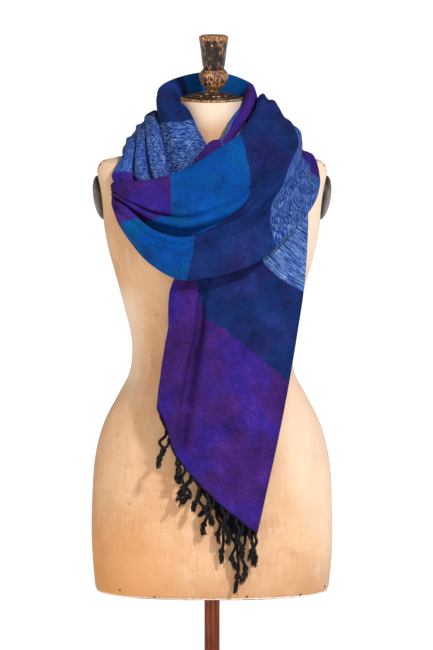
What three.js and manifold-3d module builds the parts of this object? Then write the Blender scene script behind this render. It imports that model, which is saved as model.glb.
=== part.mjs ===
// A long fringed wool scarf wound round a limbless dress form on a counter stand.
// Millimetres, +Z up, the wearer's front toward -Y, origin under the middle of the base.
import * as THREE from 'three';
import Module from 'manifold-3d';

const wasm = await Module();
wasm.setup();

// ---- Sizes ----
const CLOTH = 2; // thickness of the felted wool
const SEAM = 0.6; // parting between two stretches of the same cloth
const HEM_SEAM = 2.1; // the same down a slanting hem, between the cloth and its fringe
const GAP = 0.3; // clearance between pieces that touch

const LOOP_LEFT = 4.3; // station on the ring where the left shoulder stretch ends
const LOOP_RIGHT = 10.4; // station on the ring where the front loop starts

const FORM = { facets: 36, rings: 25, foot: 230, neck: 968, knobOff: 2.5 }; // knobOff: beside the axis
const PLATE = { sides: 24, x: 158, z: 822, halfHeight: 36, halfDepth: 30, dome: 20, tilt: 0.17, room: 1 };
const POLE = { radius: 11.5, collar: 24, collarHeight: 18, socket: 16, socketHeight: 6 };
const BASE = { radius: 145, height: 28 };
const BOARD = { height: 4, inset: 10 };
const TASSEL = { sides: 4, strip: 5, thickness: 1.6, cord: 1.8, knot: 3.3, tuft: 3.8 };

const COLOURS = {
  teal: 0x0f5f9c,
  navy: 0x27296f,
  denim: 0x3c66b4,
  purple: 0x4a1e86,
  black: 0x111114,
  linen: 0xdcb78a,
  paint: 0x17120f,
  wood: 0x7a3b1d,
  brass: 0x6f5330,
};

// ---- Tables ----
// A table is read by its column names, so sections.x is the list of every row's x.
const table = (names, ...rows) =>
  Object.fromEntries(names.split(' ').map((name, column) => [name, rows.map((row) => row[column])]));

// The ring: it comes down off the left shoulder, runs back over it, behind the neck and
// over the right shoulder, hangs across the chest and ends folded in at the left.
// Each row is a section, from the edge nearest the neck to the outer edge.
const RING = table(
  'upperX upperY upperZ lowerX lowerY lowerZ',
  [-56, -99, 838, -130, -86, 838], // left end, tucked behind the chest loop
  [-62, -90, 862, -148, -72, 858],
  [-72, -73, 900, -143, -64, 875],
  [-80, -45, 934, -132, -40, 887],
  [-85, 0, 950, -130, -6, 892], // left shoulder
  [-80, 50, 946, -132, 68, 874],
  [-50, 94, 950, -94, 110, 806],
  [0, 110, 953, 2, 132, 770], // middle of the back
  [50, 98, 956, 98, 118, 798],
  [74, 52, 958, 138, 76, 850],
  [72, 26, 968, 143, 38, 881],
  [69.5, -5, 973, 152, -14, 884], // right shoulder
  [67, -24, 965, 160, -56, 860],
  [63, -40, 955, 153, -95, 831],
  [46, -72, 930, 121, -138, 787],
  [25, -90, 913, 63, -160, 740],
  [0, -100, 898, 0, -167, 720], // middle of the chest
  [-33, -106, 879, -48, -162, 715],
  [-78, -107, 861, -93, -143, 740],
  [-114, -103, 856, -123, -122, 770],
  [-137, -94, 855, -137, -102, 792],
  [-147, -80, 851, -142, -87, 804], // left turn
  [-141, -66, 851, -138, -82, 806],
);

// Folds across the ring, from its inner hem to its outer hem. at: how far each lies from the
// upper edge to the lower one. out: how far it stands off the straight line between them.
// The nine values are for these stations of the ring.
const RING_AT = [1, 4, 7, 11, 14, 16, 18, 20, 22];
const RING_FOLDS = table(
  'fold at out',
  ['inner hem', [0.05, 0.04, 0.05, 0.05, 0.05, 0.06, 0.05, 0.06, 0.06], [-3, -5, -6, -4, -6, -8, -6, -3, -2]],
  ['lip', [0, 0, 0, 0, 0, 0, 0, 0, 0], [0, 0, 0, 0, 0, 0, 0, 0, 0]],
  ['upper edge', [0.07, 0.07, 0.05, 0.02, 0.07, 0.07, 0.07, 0.06, 0.06], [6, 3, 9, 9, 12, 13, 10, 5, 2]],
  ['upper dip', [0.16, 0.15, 0.11, 0.1, 0.15, 0.15, 0.14, 0.12, 0.12], [9, 6, 6, 7, 15, 17, 13, 6, 3]],
  ['upper roll', [0.24, 0.23, 0.17, 0.17, 0.28, 0.29, 0.24, 0.17, 0.17], [7, 6, 14, 13, 21, 25, 18, 7, 3]],
  ['upper foot', [0.31, 0.31, 0.26, 0.3, 0.4, 0.46, 0.39, 0.23, 0.22], [2, 2, 16, 10, 20, 26, 19, 7, 3]],
  ['slit', [0.38, 0.38, 0.33, 0.41, 0.44, 0.495, 0.42, 0.27, 0.26], [6, 4, 8, 7, 19, 18, 10, 3, 2]],
  ['thin roll', [0.46, 0.45, 0.39, 0.49, 0.47, 0.545, 0.49, 0.33, 0.32], [9, 7, 12, 9, 20, 22, 15, 6, 3]],
  ['deep fold', [0.54, 0.53, 0.45, 0.56, 0.51, 0.6, 0.585, 0.4, 0.38], [6, 4, 9, 8, 18, 8, -3, 0, 1]],
  ['lower roll', [0.62, 0.61, 0.57, 0.68, 0.6, 0.65, 0.655, 0.48, 0.46], [2, 2, 18, 9, 20, 19, 10, 6, 3]],
  ['notch', [0.69, 0.69, 0.67, 0.79, 0.68, 0.7, 0.72, 0.57, 0.56], [7, 4, 10, -7, 7, 16, 14, 6, 3]],
  ['drape top', [0.77, 0.76, 0.74, 0.86, 0.76, 0.77, 0.79, 0.67, 0.66], [9, 6, 14, -5, 17, 20, 17, 7, 3]],
  ['drape dip', [0.85, 0.85, 0.83, 0.91, 0.84, 0.84, 0.86, 0.78, 0.77], [7, 3, 11, -6, 8, 19, 17, 6, 3]],
  ['drape', [0.93, 0.93, 0.93, 0.96, 0.93, 0.92, 0.93, 0.9, 0.9], [5, 3, 9, -2, 13, 15, 12, 4, 2]],
  ['lower edge', [1, 1, 1, 1, 1, 1, 1, 1, 1], [0, 0, 0, 0, 0, 0, 0, 0, 0]],
  ['outer hem', [0.96, 0.97, 0.95, 0.97, 0.95, 0.95, 0.94, 0.94, 0.95], [-4, -2, -6, -2, -6, -6, -6, -4, -2]],
);

// The collar: the inner wrap, from the left of the chest round the neck and back to its front.
const COLLAR = table(
  'upperX upperY upperZ lowerX lowerY lowerZ',
  [-12, -70, 884, -39, -80, 855], // left end, behind the chest loop
  [-8, -65, 904, -55, -77, 869],
  [-22, -60, 932, -68, -62, 906],
  [-36, -47, 957, -78, -38, 941],
  [-54, -14, 964, -82, 2, 955], // left of the neck
  [-46, 36, 961, -74, 44, 955],
  [0, 60, 961, 0, 94, 956], // behind the neck
  [44, 38, 957, 64, 44, 957],
  [49.5, -14, 965, 62, -5, 966], // right of the neck
  [39, -50, 956, 56, -38, 952],
  [26, -63, 938, 46, -62, 934],
  [15, -74, 918, 31, -76, 918],
  [0, -82, 915, 15, -85, 901],
  [-13, -87, 903, 0, -90, 886],
  [-28, -90, 882, -13, -94, 872], // right end, laid over the left one
);
const COLLAR_AT = [0, 2, 4, 6, 8, 10, 12, 14];
const COLLAR_FOLDS = table(
  'fold at out',
  ['inner hem', [0.06, 0.06, 0, 0, 0, 0.06, 0.08, 0.08], [-2, -3, -8, -18, -8, -4, -2, -2]],
  ['inner edge', [0, 0, 0, 0, 0, 0, 0, 0], [0, 0, 0, 0, 0, 0, 0, 0]],
  ['inner face', [0.12, 0.14, 0.12, 0.04, 0.06, 0.14, 0.18, 0.2], [4, 6, 12, 22, 12, 5, 3, 3]],
  ['crest', [0.32, 0.32, 0.42, 0.34, 0.38, 0.38, 0.38, 0.38], [6, 8, 21, 41, 20, 8, 5, 5]],
  ['outer face', [0.56, 0.56, 0.66, 0.66, 0.68, 0.64, 0.6, 0.6], [7, 10, 20, 38, 20, 10, 5, 5]],
  ['foot', [0.82, 0.8, 0.88, 0.9, 0.92, 0.86, 0.84, 0.84], [5, 7, 11, 20, 10, 7, 3, 3]],
  ['outer edge', [1, 1, 1, 1, 1, 1, 1, 1], [0, 0, 0, 0, 0, 0, 0, 0]],
  ['outer hem', [0.94, 0.94, 1, 1, 1, 0.94, 0.92, 0.92], [-3, -4, -9, -12, -9, -4, -2, -2]],
);

// The hanging end: from the right shoulder down under the loop, left edge and right edge.
const TAIL = table(
  'upperX upperY upperZ lowerX lowerY lowerZ',
  [70, -6, 919, 127, -8, 895],
  [54, -90, 880, 136, -66, 868],
  [8, -126, 808, 143, -96, 806],
  [-57, -141, 709, 138, -114, 709], // where it comes out under the loop
  [-66, -141, 631, 127, -119, 631],
  [-79, -139, 553, 114, -123, 553],
  [-86, -136, 475, 99, -127, 475],
  [-90, -133, 397, 82, -128, 397],
  [-92, -131, 319, 65, -128, 319],
);
const TAIL_OUT = 3; // the station that comes out, and from which the stations are evenly spaced
const TAIL_AT = [0, 2, 3, 5, 8];
// Its two layers are one cloth folded at the left. hem: the height that each fold hangs to.
const TAIL_FOLDS = table(
  'fold at out hem',
  ['rear edge', [0.9, 0.94, 0.98, 0.98, 0.98], [-3.4, -3.4, -6, -7, -7], 334],
  ['rear right', [0.7, 0.76, 0.76, 0.8, 0.8], [-2, 1, -3, -7, -8], 333],
  ['rear panel', [0.45, 0.5, 0.52, 0.56, 0.58], [-1.4, 6, 2, -6, -9], 370],
  ['rear left', [0.15, 0.15, 0.16, 0.2, 0.26], [-2, 0, -2, -7, -9], 449],
  ['left fold', [0, 0, 0, 0, 0], [0, 0, -1, -3, -4], 526],
  ['roll', [0.08, 0.07, 0.09, 0.08, 0.08], [2.4, 5, 9, 7, 4], 505],
  ['roll side', [0.16, 0.14, 0.17, 0.15, 0.15], [2.6, 5.5, 8.5, 7, 4.5], 466],
  ['valley', [0.22, 0.22, 0.235, 0.23, 0.24], [2.6, 6, 4, 1, 0.5], 443],
  ['panel left', [0.3, 0.3, 0.31, 0.33, 0.34], [2.8, 8, 8, 4, 3], 423],
  ['panel', [0.5, 0.52, 0.54, 0.55, 0.55], [3, 11, 11, 6, 4], 389],
  ['panel right', [0.78, 0.8, 0.8, 0.8, 0.8], [2.6, 7, 8, 6, 4], 357],
  ['right turn', [0.94, 0.94, 0.95, 0.95, 0.95], [1.6, 2, 3, 3, 3], 341],
  ['right edge', [1, 1, 1, 1, 1], [0, 0, 0, 0, 0], 336],
);
const LEFT_FOLD = TAIL_FOLDS.fold.indexOf('left fold');

// Tassels: how far along its hem each hangs, its length, and how far its end swings
// to the right and out from the form.
const FRONT_TASSELS = table(
  'along length swing lean',
  [0.02, 46, -17, 3],
  [0.11, 34, 3, 4],
  [0.18, 42, -8, 5],
  [0.25, 36, -22, 3],
  [0.32, 40, -9, 5],
  [0.4, 46, 3, 4],
  [0.48, 42, -6, 5],
  [0.57, 42, 8, 4],
  [0.65, 50, -3, 5],
  [0.74, 44, 6, 5],
  [0.82, 56, -4, 4],
  [0.9, 50, 4, 5],
  [0.98, 44, -2, 4],
);
const REAR_TASSELS = table(
  'along length swing lean',
  [0.03, 50, 5, 2],
  [0.1, 74, -6, 3],
  [0.18, 92, -3, 2],
  [0.27, 60, 8, 3],
  [0.36, 62, -4, 2],
  [0.46, 48, 6, 3],
  [0.56, 52, -7, 2],
  [0.66, 42, 4, 3],
  [0.76, 46, -9, 2],
  [0.86, 40, -4, 3],
  [0.95, 42, -11, 2],
);

// The form: height, half width, depth to the front and back, and squareness of each section.
const TORSO = table(
  'z halfWidth front back squareness',
  [230, 172, 108, 100, 2.3],
  [238, 176, 112, 104, 2.3],
  [300, 180.5, 113, 112, 2.3],
  [370, 180, 113, 117, 2.3], // hips
  [430, 175, 112, 120, 2.25],
  [480, 162.5, 109, 118, 2.2],
  [524, 140.5, 101, 106, 2.2],
  [556, 124, 93, 92, 2.2],
  [588, 119.3, 88, 82, 2.2], // waist
  [620, 122.5, 92, 80, 2.2],
  [655, 131, 104, 84, 2.2],
  [693, 141, 118, 90, 2.25],
  [744, 155, 127, 97, 2.4], // bust
  [788, 162.5, 115, 98, 2.6],
  [830, 168, 94, 92, 2.9],
  [856, 171.5, 70, 76, 3],
  [868, 170.5, 56, 63, 3], // shoulders
  [875.5, 164.5, 50, 57, 3],
  [879.5, 149, 49, 55, 2.8],
  [884.5, 128, 51, 55, 2.5],
  [893, 103, 53, 55, 2.3],
  [904, 80, 54, 55, 2.1],
  [914, 64, 54, 54, 2],
  [928, 54, 52, 52, 2],
  [945, 49.5, 49.5, 49.5, 2],
  [FORM.neck, 47, 47, 47, 2],
);

// Turned pieces: radius and height of each ring of the outline.
const CAP = table(
  'radius z',
  [0, 968.3],
  [45.5, 968.3],
  [47.5, 969.5],
  [47.5, 971.2],
  [46, 972.4],
  [41, 973],
  [39, 974.4],
  [33, 974.8],
  [30, 976.8],
  [22, 977.6],
  [18, 979.4],
  [12, 980.4],
  [11, 981.7],
  [0, 981.7],
);
const KNOB = table(
  'radius z',
  [0, 982],
  [9.5, 982],
  [11, 984],
  [16, 988],
  [19.5, 994],
  [21.8, 1002],
  [21, 1008],
  [17.5, 1013],
  [15.5, 1015.5],
  [16.5, 1018],
  [18, 1028],
  [19.5, 1043],
  [21.8, 1058],
  [22.3, 1062],
  [21.5, 1064],
  [18, 1065],
  [0, 1065],
);

// ---- Curves ----
// A smooth line through values at knots: value(at) with no overshoot at the ends.
function curve(knots, values) {
  const last = knots.length - 1;
  const steps = knots.slice(1).map((k, i) => (values[i + 1] - values[i]) / (k - knots[i]));
  const slopes = knots.map((k, i) => {
    if (i === 0) return steps[0];
    if (i === last) return steps[last - 1];
    const before = k - knots[i - 1];
    const after = knots[i + 1] - k;
    return (steps[i - 1] * after + steps[i] * before) / (before + after);
  });
  return (at) => {
    const x = Math.min(Math.max(at, knots[0]), knots[last]);
    let i = 0;
    while (i < last - 1 && x > knots[i + 1]) i += 1;
    const h = knots[i + 1] - knots[i];
    const u = (x - knots[i]) / h;
    return (
      (1 + 2 * u) * (1 - u) ** 2 * values[i] +
      u * (1 - u) ** 2 * h * slopes[i] +
      u * u * (3 - 2 * u) * values[i + 1] +
      u * u * (u - 1) * h * slopes[i + 1]
    );
  };
}

// The mean distance run from fold to fold, as knots from 0 to 1 across the cloth.
function foldKnots(sections, keys, folds) {
  const steps = folds.fold.slice(1).map((_, i) =>
    keys.reduce((sum, station, key) => {
      const width = Math.hypot(
        sections.lowerX[station] - sections.upperX[station],
        sections.lowerY[station] - sections.upperY[station],
        sections.lowerZ[station] - sections.upperZ[station],
      );
      const along = (folds.at[i + 1][key] - folds.at[i][key]) * width;
      return sum + Math.hypot(along, folds.out[i + 1][key] - folds.out[i][key]);
    }, 0),
  );
  const total = steps.reduce((a, b) => a + b);
  let run = 0;
  return [0, ...steps.map((step) => (run += step) / total)];
}

// ---- Cloth ----
// A stretch of folded cloth: point(s, t), s in stations along it and t from 0 to 1 across it.
function folded(sections, keys, folds) {
  const stations = sections.upperX.map((_, i) => i);
  const last = stations.length - 1;
  const line = (name) => curve(stations, sections[name]);
  const [ux, uy, uz, lx, ly, lz] = ['upperX', 'upperY', 'upperZ', 'lowerX', 'lowerY', 'lowerZ'].map(line);
  const upper = (s) => new THREE.Vector3(ux(s), uy(s), uz(s));
  const lower = (s) => new THREE.Vector3(lx(s), ly(s), lz(s));
  const middle = (s) => upper(s).add(lower(s));
  const knots = foldKnots(sections, keys, folds);
  const places = folds.at.map((values) => curve(keys, values));
  const heights = folds.out.map((values) => curve(keys, values));
  const point = (s, t) => {
    const top = upper(s);
    const across = lower(s).sub(top);
    const run = middle(Math.min(s + 0.02, last)).sub(middle(Math.max(s - 0.02, 0)));
    const outward = run.cross(across).normalize();
    const at = curve(knots, places.map((place) => place(s)))(t);
    const out = curve(knots, heights.map((height) => height(s)))(t);
    return top.addScaledVector(across, at).addScaledVector(outward, out);
  };
  return { point, knots };
}

// Steps across the cloth: each span between folds is divided, longer spans more.
function stepsAcross(knots, longest) {
  return knots.flatMap((knot, i) => {
    if (i === 0) return [knot];
    const span = knot - knots[i - 1];
    const count = Math.max(1, Math.ceil(span / longest));
    return Array.from({ length: count }, (_, k) => knots[i - 1] + (span * (k + 1)) / count);
  });
}

const evenly = (from, to, count) =>
  Array.from({ length: count + 1 }, (_, i) => from + ((to - from) * i) / count);

// A closed wall of even thickness on a grid of points.
function wall(rows, thickness) {
  const high = rows.length;
  const wide = rows[0].length;
  const at = (i, j) => rows[Math.min(Math.max(i, 0), high - 1)][Math.min(Math.max(j, 0), wide - 1)];
  const sides = [thickness / 2, -thickness / 2].map((offset) =>
    rows.map((row, i) =>
      row.map((p, j) => {
        const along = at(i + 1, j).clone().sub(at(i - 1, j));
        const across = at(i, j + 1).clone().sub(at(i, j - 1));
        return p.clone().addScaledVector(along.cross(across).normalize(), offset);
      }),
    ),
  );
  const position = sides.flat(2).flatMap((p) => p.toArray());
  const id = (side, i, j) => side * high * wide + i * wide + j;
  const faces = [];
  const quad = (a, b, c, d) => faces.push(a, b, c, a, c, d);
  for (let i = 0; i < high - 1; i += 1) {
    for (let j = 0; j < wide - 1; j += 1) {
      quad(id(0, i, j), id(0, i + 1, j), id(0, i + 1, j + 1), id(0, i, j + 1));
      quad(id(1, i, j), id(1, i, j + 1), id(1, i + 1, j + 1), id(1, i + 1, j));
    }
  }
  for (let i = 0; i < high - 1; i += 1) {
    quad(id(0, i, 0), id(1, i, 0), id(1, i + 1, 0), id(0, i + 1, 0));
    quad(id(0, i + 1, wide - 1), id(1, i + 1, wide - 1), id(1, i, wide - 1), id(0, i, wide - 1));
  }
  for (let j = 0; j < wide - 1; j += 1) {
    quad(id(0, 0, j + 1), id(1, 0, j + 1), id(1, 0, j), id(0, 0, j));
    quad(id(0, high - 1, j), id(1, high - 1, j), id(1, high - 1, j + 1), id(0, high - 1, j + 1));
  }
  return solid(position, faces);
}

// ---- Solids ----
function solid(position, index) {
  const geometry = new THREE.BufferGeometry();
  geometry.setAttribute('position', new THREE.Float32BufferAttribute(position, 3));
  geometry.setIndex(index);
  return geometry;
}

function toManifold(geometry) {
  const mesh = new wasm.Mesh({
    numProp: 3,
    vertProperties: Float32Array.from(geometry.attributes.position.array),
    triVerts: Uint32Array.from(geometry.index.array),
  });
  mesh.merge();
  return wasm.Manifold.ofMesh(mesh);
}

function fromManifold(body) {
  const mesh = body.getMesh();
  return solid(Array.from(mesh.vertProperties), Array.from(mesh.triVerts));
}

// A body through stacked rings of points, closed flat at both ends.
function stacked(rings) {
  const count = rings[0].length;
  const position = rings.flat().flatMap((p) => p.toArray());
  const middleOf = (ring) =>
    ring.reduce((sum, p) => sum.add(p), new THREE.Vector3()).divideScalar(count).toArray();
  const foot = rings.length * count;
  position.push(...middleOf(rings[0]), ...middleOf(rings.at(-1)));
  const faces = [];
  for (let j = 0; j < count; j += 1) {
    const next = (j + 1) % count;
    for (let i = 0; i < rings.length - 1; i += 1) {
      const a = i * count + j;
      const b = i * count + next;
      faces.push(a, b, b + count, a, b + count, a + count);
    }
    const top = (rings.length - 1) * count;
    faces.push(foot, next, j, foot + 1, top + j, top + next);
  }
  return solid(position, faces);
}

// A turned body: an outline of radii and heights that starts and ends on the axis.
function turned({ radius, z }, sides) {
  const outline = radius.map((r, i) => new THREE.Vector2(r, z[i]));
  return new THREE.LatheGeometry(outline, sides).rotateX(Math.PI / 2);
}

function disc(radius, from, to, edge, sides) {
  const rim = radius - edge;
  const heights = [from, from, from + edge, to - edge, to, to];
  return turned({ radius: [0, rim, radius, radius, rim, 0], z: heights }, sides);
}

// ---- The form ----
const torsoRows = TORSO.z.map((_, i) => i);
const torsoLine = Object.fromEntries(
  Object.entries(TORSO).map(([name, values]) => [name, curve(torsoRows, values)]),
);

// A rounded-square ring of the torso, row rows up its table, drawn in by inset.
function torsoRing(row, inset = 0) {
  const power = 2 / torsoLine.squareness(row);
  return Array.from({ length: FORM.facets }, (_, k) => {
    const angle = (2 * Math.PI * k) / FORM.facets;
    const c = Math.cos(angle);
    const s = Math.sin(angle);
    const depth = (s < 0 ? torsoLine.front(row) : torsoLine.back(row)) - inset;
    return new THREE.Vector3(
      (torsoLine.halfWidth(row) - inset) * Math.sign(c) * Math.abs(c) ** power,
      depth * Math.sign(s) * Math.abs(s) ** power,
      torsoLine.z(row),
    );
  });
}

// A body of stacked ovals on an arm plate's seat: each has a depth, a height and a distance out.
function onArmSeat(side, ovals) {
  const rings = ovals.map(([halfDepth, halfHeight, out]) =>
    Array.from({ length: PLATE.sides }, (_, k) => {
      const angle = (2 * Math.PI * k) / PLATE.sides;
      return new THREE.Vector3(halfDepth * Math.cos(angle), halfHeight * Math.sin(angle), out);
    }),
  );
  const facingOut = new THREE.Matrix4().makeBasis(
    new THREE.Vector3(0, side, 0),
    new THREE.Vector3(0, 0, 1),
    new THREE.Vector3(side, 0, 0),
  );
  return stacked(rings)
    .applyMatrix4(facingOut)
    .rotateY(side * PLATE.tilt)
    .translate(side * PLATE.x, 0, PLATE.z);
}

// An upright oval disc whose flat face looks in at the form and whose dome looks out.
function armPlate(side) {
  const dome = [
    [1, 0],
    [1, 0.25],
    [0.95, 0.55],
    [0.8, 0.8],
    [0.5, 0.96],
    [0.2, 1],
  ];
  return onArmSeat(
    side,
    dome.map(([size, out]) => [size * PLATE.halfDepth, size * PLATE.halfHeight, out * PLATE.dome]),
  );
}

// The recess that an arm plate sits in: its oval, a little larger, straight out past the form.
function armRecess(side) {
  const oval = [PLATE.halfDepth + PLATE.room, PLATE.halfHeight + PLATE.room];
  return onArmSeat(side, [[...oval, -GAP], [...oval, 2 * PLATE.dome]]);
}

function torso() {
  const rows = evenly(0, torsoRows.length - 1, FORM.rings);
  const body = toManifold(stacked(rows.map((row) => torsoRing(row))));
  return fromManifold(body.subtract(toManifold(armRecess(-1))).subtract(toManifold(armRecess(1))));
}

function bottomBoard() {
  const shape = (z) => torsoRing(0, BOARD.inset).map((p) => p.setZ(z));
  return stacked([shape(FORM.foot - GAP - BOARD.height), shape(FORM.foot - GAP)]);
}

// ---- The scarf ----
const ring = folded(RING, RING_AT, RING_FOLDS);
const collar = folded(COLLAR, COLLAR_AT, COLLAR_FOLDS);
const tail = folded(TAIL, TAIL_AT, TAIL_FOLDS);
const tailSpacing = TAIL.upperZ[TAIL_OUT] - TAIL.upperZ[TAIL_OUT + 1];
const hemStation = (t) =>
  TAIL_OUT + (TAIL.upperZ[TAIL_OUT] - curve(tail.knots, TAIL_FOLDS.hem)(t)) / tailSpacing;

const stretch = (cloth, from, to, steps, longest) =>
  wall(
    evenly(from, to, steps).map((s) => stepsAcross(cloth.knots, longest).map((t) => cloth.point(s, t))),
    CLOTH,
  );

// Part of a station that measures the given distance on the ring's inner edge, near station s.
const ringStep = (s, distance) => distance / (10 * ring.point(s, 0.1).distanceTo(ring.point(s + 0.1, 0.1)));

const tailAcross = stepsAcross(tail.knots, 0.06);

function hangingEnd() {
  const row = (share) => tailAcross.map((t) => tail.point(share * hemStation(t), t));
  return wall(evenly(0, 1, 16).map(row), CLOTH);
}

// A four-sided cord along a line of points, with a radius at each.
function cord(points, radii) {
  const rings = points.map((p, i) => {
    const ahead = points[Math.min(i + 1, points.length - 1)].clone();
    const along = ahead.sub(points[Math.max(i - 1, 0)]).normalize();
    const side = new THREE.Vector3(0, 1, 0).cross(along).normalize();
    const front = along.clone().cross(side);
    return Array.from({ length: TASSEL.sides }, (_, k) => {
      const angle = (2 * Math.PI * (k + 0.5)) / TASSEL.sides;
      return p
        .clone()
        .addScaledVector(side, radii[i] * Math.cos(angle))
        .addScaledVector(front, radii[i] * Math.sin(angle));
    });
  });
  return toManifold(stacked(rings));
}

// A knotted tassel that starts in the hem strip: a twisted cord, a knot and a frayed tuft.
const TASSEL_SHAPE = table(
  'down sway radius',
  [-0.02, 0, TASSEL.cord],
  [0.14, 0.1, TASSEL.cord],
  [0.38, 0.62, TASSEL.cord],
  [0.6, 0.6, TASSEL.cord],
  [0.67, 0.66, TASSEL.knot],
  [0.75, 0.74, TASSEL.cord],
  [0.9, 0.94, TASSEL.tuft],
  [1, 1, 1],
);

// The fringe under one layer's hem: a narrow strip parted from the cloth, and its tassels.
function fringe(from, to, tassels) {
  const below = (t, distance) => tail.point(hemStation(t) + (HEM_SEAM + distance) / tailSpacing, t);
  const across = [from, ...tailAcross.filter((t) => t > from && t < to), to];
  const strip = wall(
    [0, TASSEL.strip].map((distance) => across.map((t) => below(t, distance))),
    TASSEL.thickness,
  );
  const cords = tassels.along.map((along, i) => {
    const root = below(from + (to - from) * along, TASSEL.strip * 0.8);
    const path = TASSEL_SHAPE.down.map((down, k) =>
      root
        .clone()
        .add(
          new THREE.Vector3(
            tassels.swing[i] * TASSEL_SHAPE.sway[k],
            -tassels.lean[i] * TASSEL_SHAPE.sway[k],
            -tassels.length[i] * down,
          ),
        ),
    );
    return cord(path, TASSEL_SHAPE.radius);
  });
  return fromManifold(wasm.Manifold.union([toManifold(strip), ...cords]));
}

// ---- Assembly ----
const root = new THREE.Group();
root.name = 'wound_scarf_on_dress_form';

function add(name, geometry, colour, roughness, metalness = 0) {
  const material = new THREE.MeshStandardMaterial({ color: colour, roughness, metalness });
  const mesh = new THREE.Mesh(geometry, material);
  mesh.name = name;
  root.add(mesh);
}

const backStart = LOOP_LEFT + ringStep(LOOP_LEFT, SEAM);
const backEnd = LOOP_RIGHT - ringStep(LOOP_RIGHT, SEAM);
const leftFold = tail.knots[LEFT_FOLD];

add('scarf_collar', stretch(collar, 0, COLLAR.upperX.length - 1, 24, 0.08), COLOURS.navy, 0.95);
add('scarf_left_shoulder', stretch(ring, 0, LOOP_LEFT, 10, 0.05), COLOURS.denim, 0.95);
add('scarf_back_wrap', stretch(ring, backStart, backEnd, 13, 0.05), COLOURS.denim, 0.95);
add('scarf_front_loop', stretch(ring, LOOP_RIGHT, RING.upperX.length - 1, 27, 0.045), COLOURS.teal, 0.95);
add('scarf_tail', hangingEnd(), COLOURS.purple, 0.95);
add('scarf_fringe_front', fringe(leftFold + 0.06, 1, FRONT_TASSELS), COLOURS.black, 0.9);
add('scarf_fringe_rear', fringe(0, leftFold - 0.03, REAR_TASSELS), COLOURS.black, 0.9);

const collarTop = BASE.height + GAP + POLE.collarHeight;
const boardBottom = FORM.foot - GAP - BOARD.height;
const socketBottom = boardBottom - GAP - POLE.socketHeight;
add('form_torso', torso(), COLOURS.linen, 0.9);
add('form_bottom_board', bottomBoard(), COLOURS.wood, 0.6);
add('form_neck_cap', turned(CAP, 32), COLOURS.brass, 0.4, 0.4);
add('form_knob', turned(KNOB, 18).translate(FORM.knobOff, 0, 0), COLOURS.paint, 0.35);
add('form_arm_plate_left', armPlate(-1), COLOURS.paint, 0.25);
add('form_arm_plate_right', armPlate(1), COLOURS.paint, 0.25);
add('form_socket', disc(POLE.socket, socketBottom, boardBottom - GAP, 1, 20), COLOURS.wood, 0.5);
add('form_pole', disc(POLE.radius, collarTop + GAP, socketBottom - GAP, 0.5, 20), COLOURS.wood, 0.5);
add('form_foot_collar', disc(POLE.collar, BASE.height + GAP, collarTop, 3, 20), COLOURS.wood, 0.5);
add('form_base', disc(BASE.radius, 0, BASE.height, 5, 48), COLOURS.wood, 0.5);

export default root;
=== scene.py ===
"""The looks of a long fringed wool scarf wound round a limbless dress form.

The scene is in metres, +Z up, the form's chest toward -Y. The tables of the cloth are in
millimetres and say the same as the part's own: the shells lie on the frame's solids.
"""

import math

import bmesh
import bpy
import numpy as np
from mathutils import Matrix, Vector


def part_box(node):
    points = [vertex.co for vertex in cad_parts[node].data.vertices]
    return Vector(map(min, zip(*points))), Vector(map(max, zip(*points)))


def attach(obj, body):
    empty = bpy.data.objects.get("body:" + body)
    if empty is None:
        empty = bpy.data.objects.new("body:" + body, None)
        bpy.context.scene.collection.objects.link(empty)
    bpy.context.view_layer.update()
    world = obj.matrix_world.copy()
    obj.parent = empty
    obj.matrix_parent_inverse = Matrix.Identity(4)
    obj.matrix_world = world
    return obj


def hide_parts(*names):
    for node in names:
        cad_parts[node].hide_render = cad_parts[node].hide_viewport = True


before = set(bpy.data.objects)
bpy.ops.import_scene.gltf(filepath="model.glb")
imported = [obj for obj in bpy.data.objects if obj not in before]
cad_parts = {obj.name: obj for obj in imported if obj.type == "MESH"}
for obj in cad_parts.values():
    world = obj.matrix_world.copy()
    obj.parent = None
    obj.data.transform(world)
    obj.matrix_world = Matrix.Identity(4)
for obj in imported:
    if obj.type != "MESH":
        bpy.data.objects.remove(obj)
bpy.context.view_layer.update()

# ---- Sizes, in millimetres unless they say otherwise ----
MM = 0.001
WOOL = 1.6  # thickness of the shells; the solids' walls are 2
BAND = 140  # mean width of a colour band along the scarf
LOOP_LEFT = 4.3  # station on the ring where the left shoulder stretch ends
LOOP_RIGHT = 10.4  # station on the ring where the front loop starts
SEAM = 0.012  # the parting between two stretches, in stations
HEM_SEAM = 2.1  # the parting between a hem and its fringe
OVERLAP = 1.6  # how far a shell's hem hangs below the solid's, over its fringe
SHARP = math.radians(40)  # an edge of turned wood or metal sharper than this shows as one
PLATE_STEPS = 64  # points round an arm plate


# ---- Tables ----
def table(names, *rows):
    """Columns by name: each is an array of that column's value in every row."""
    return {name: np.array([row[i] for row in rows]) for i, name in enumerate(names.split())}


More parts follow.
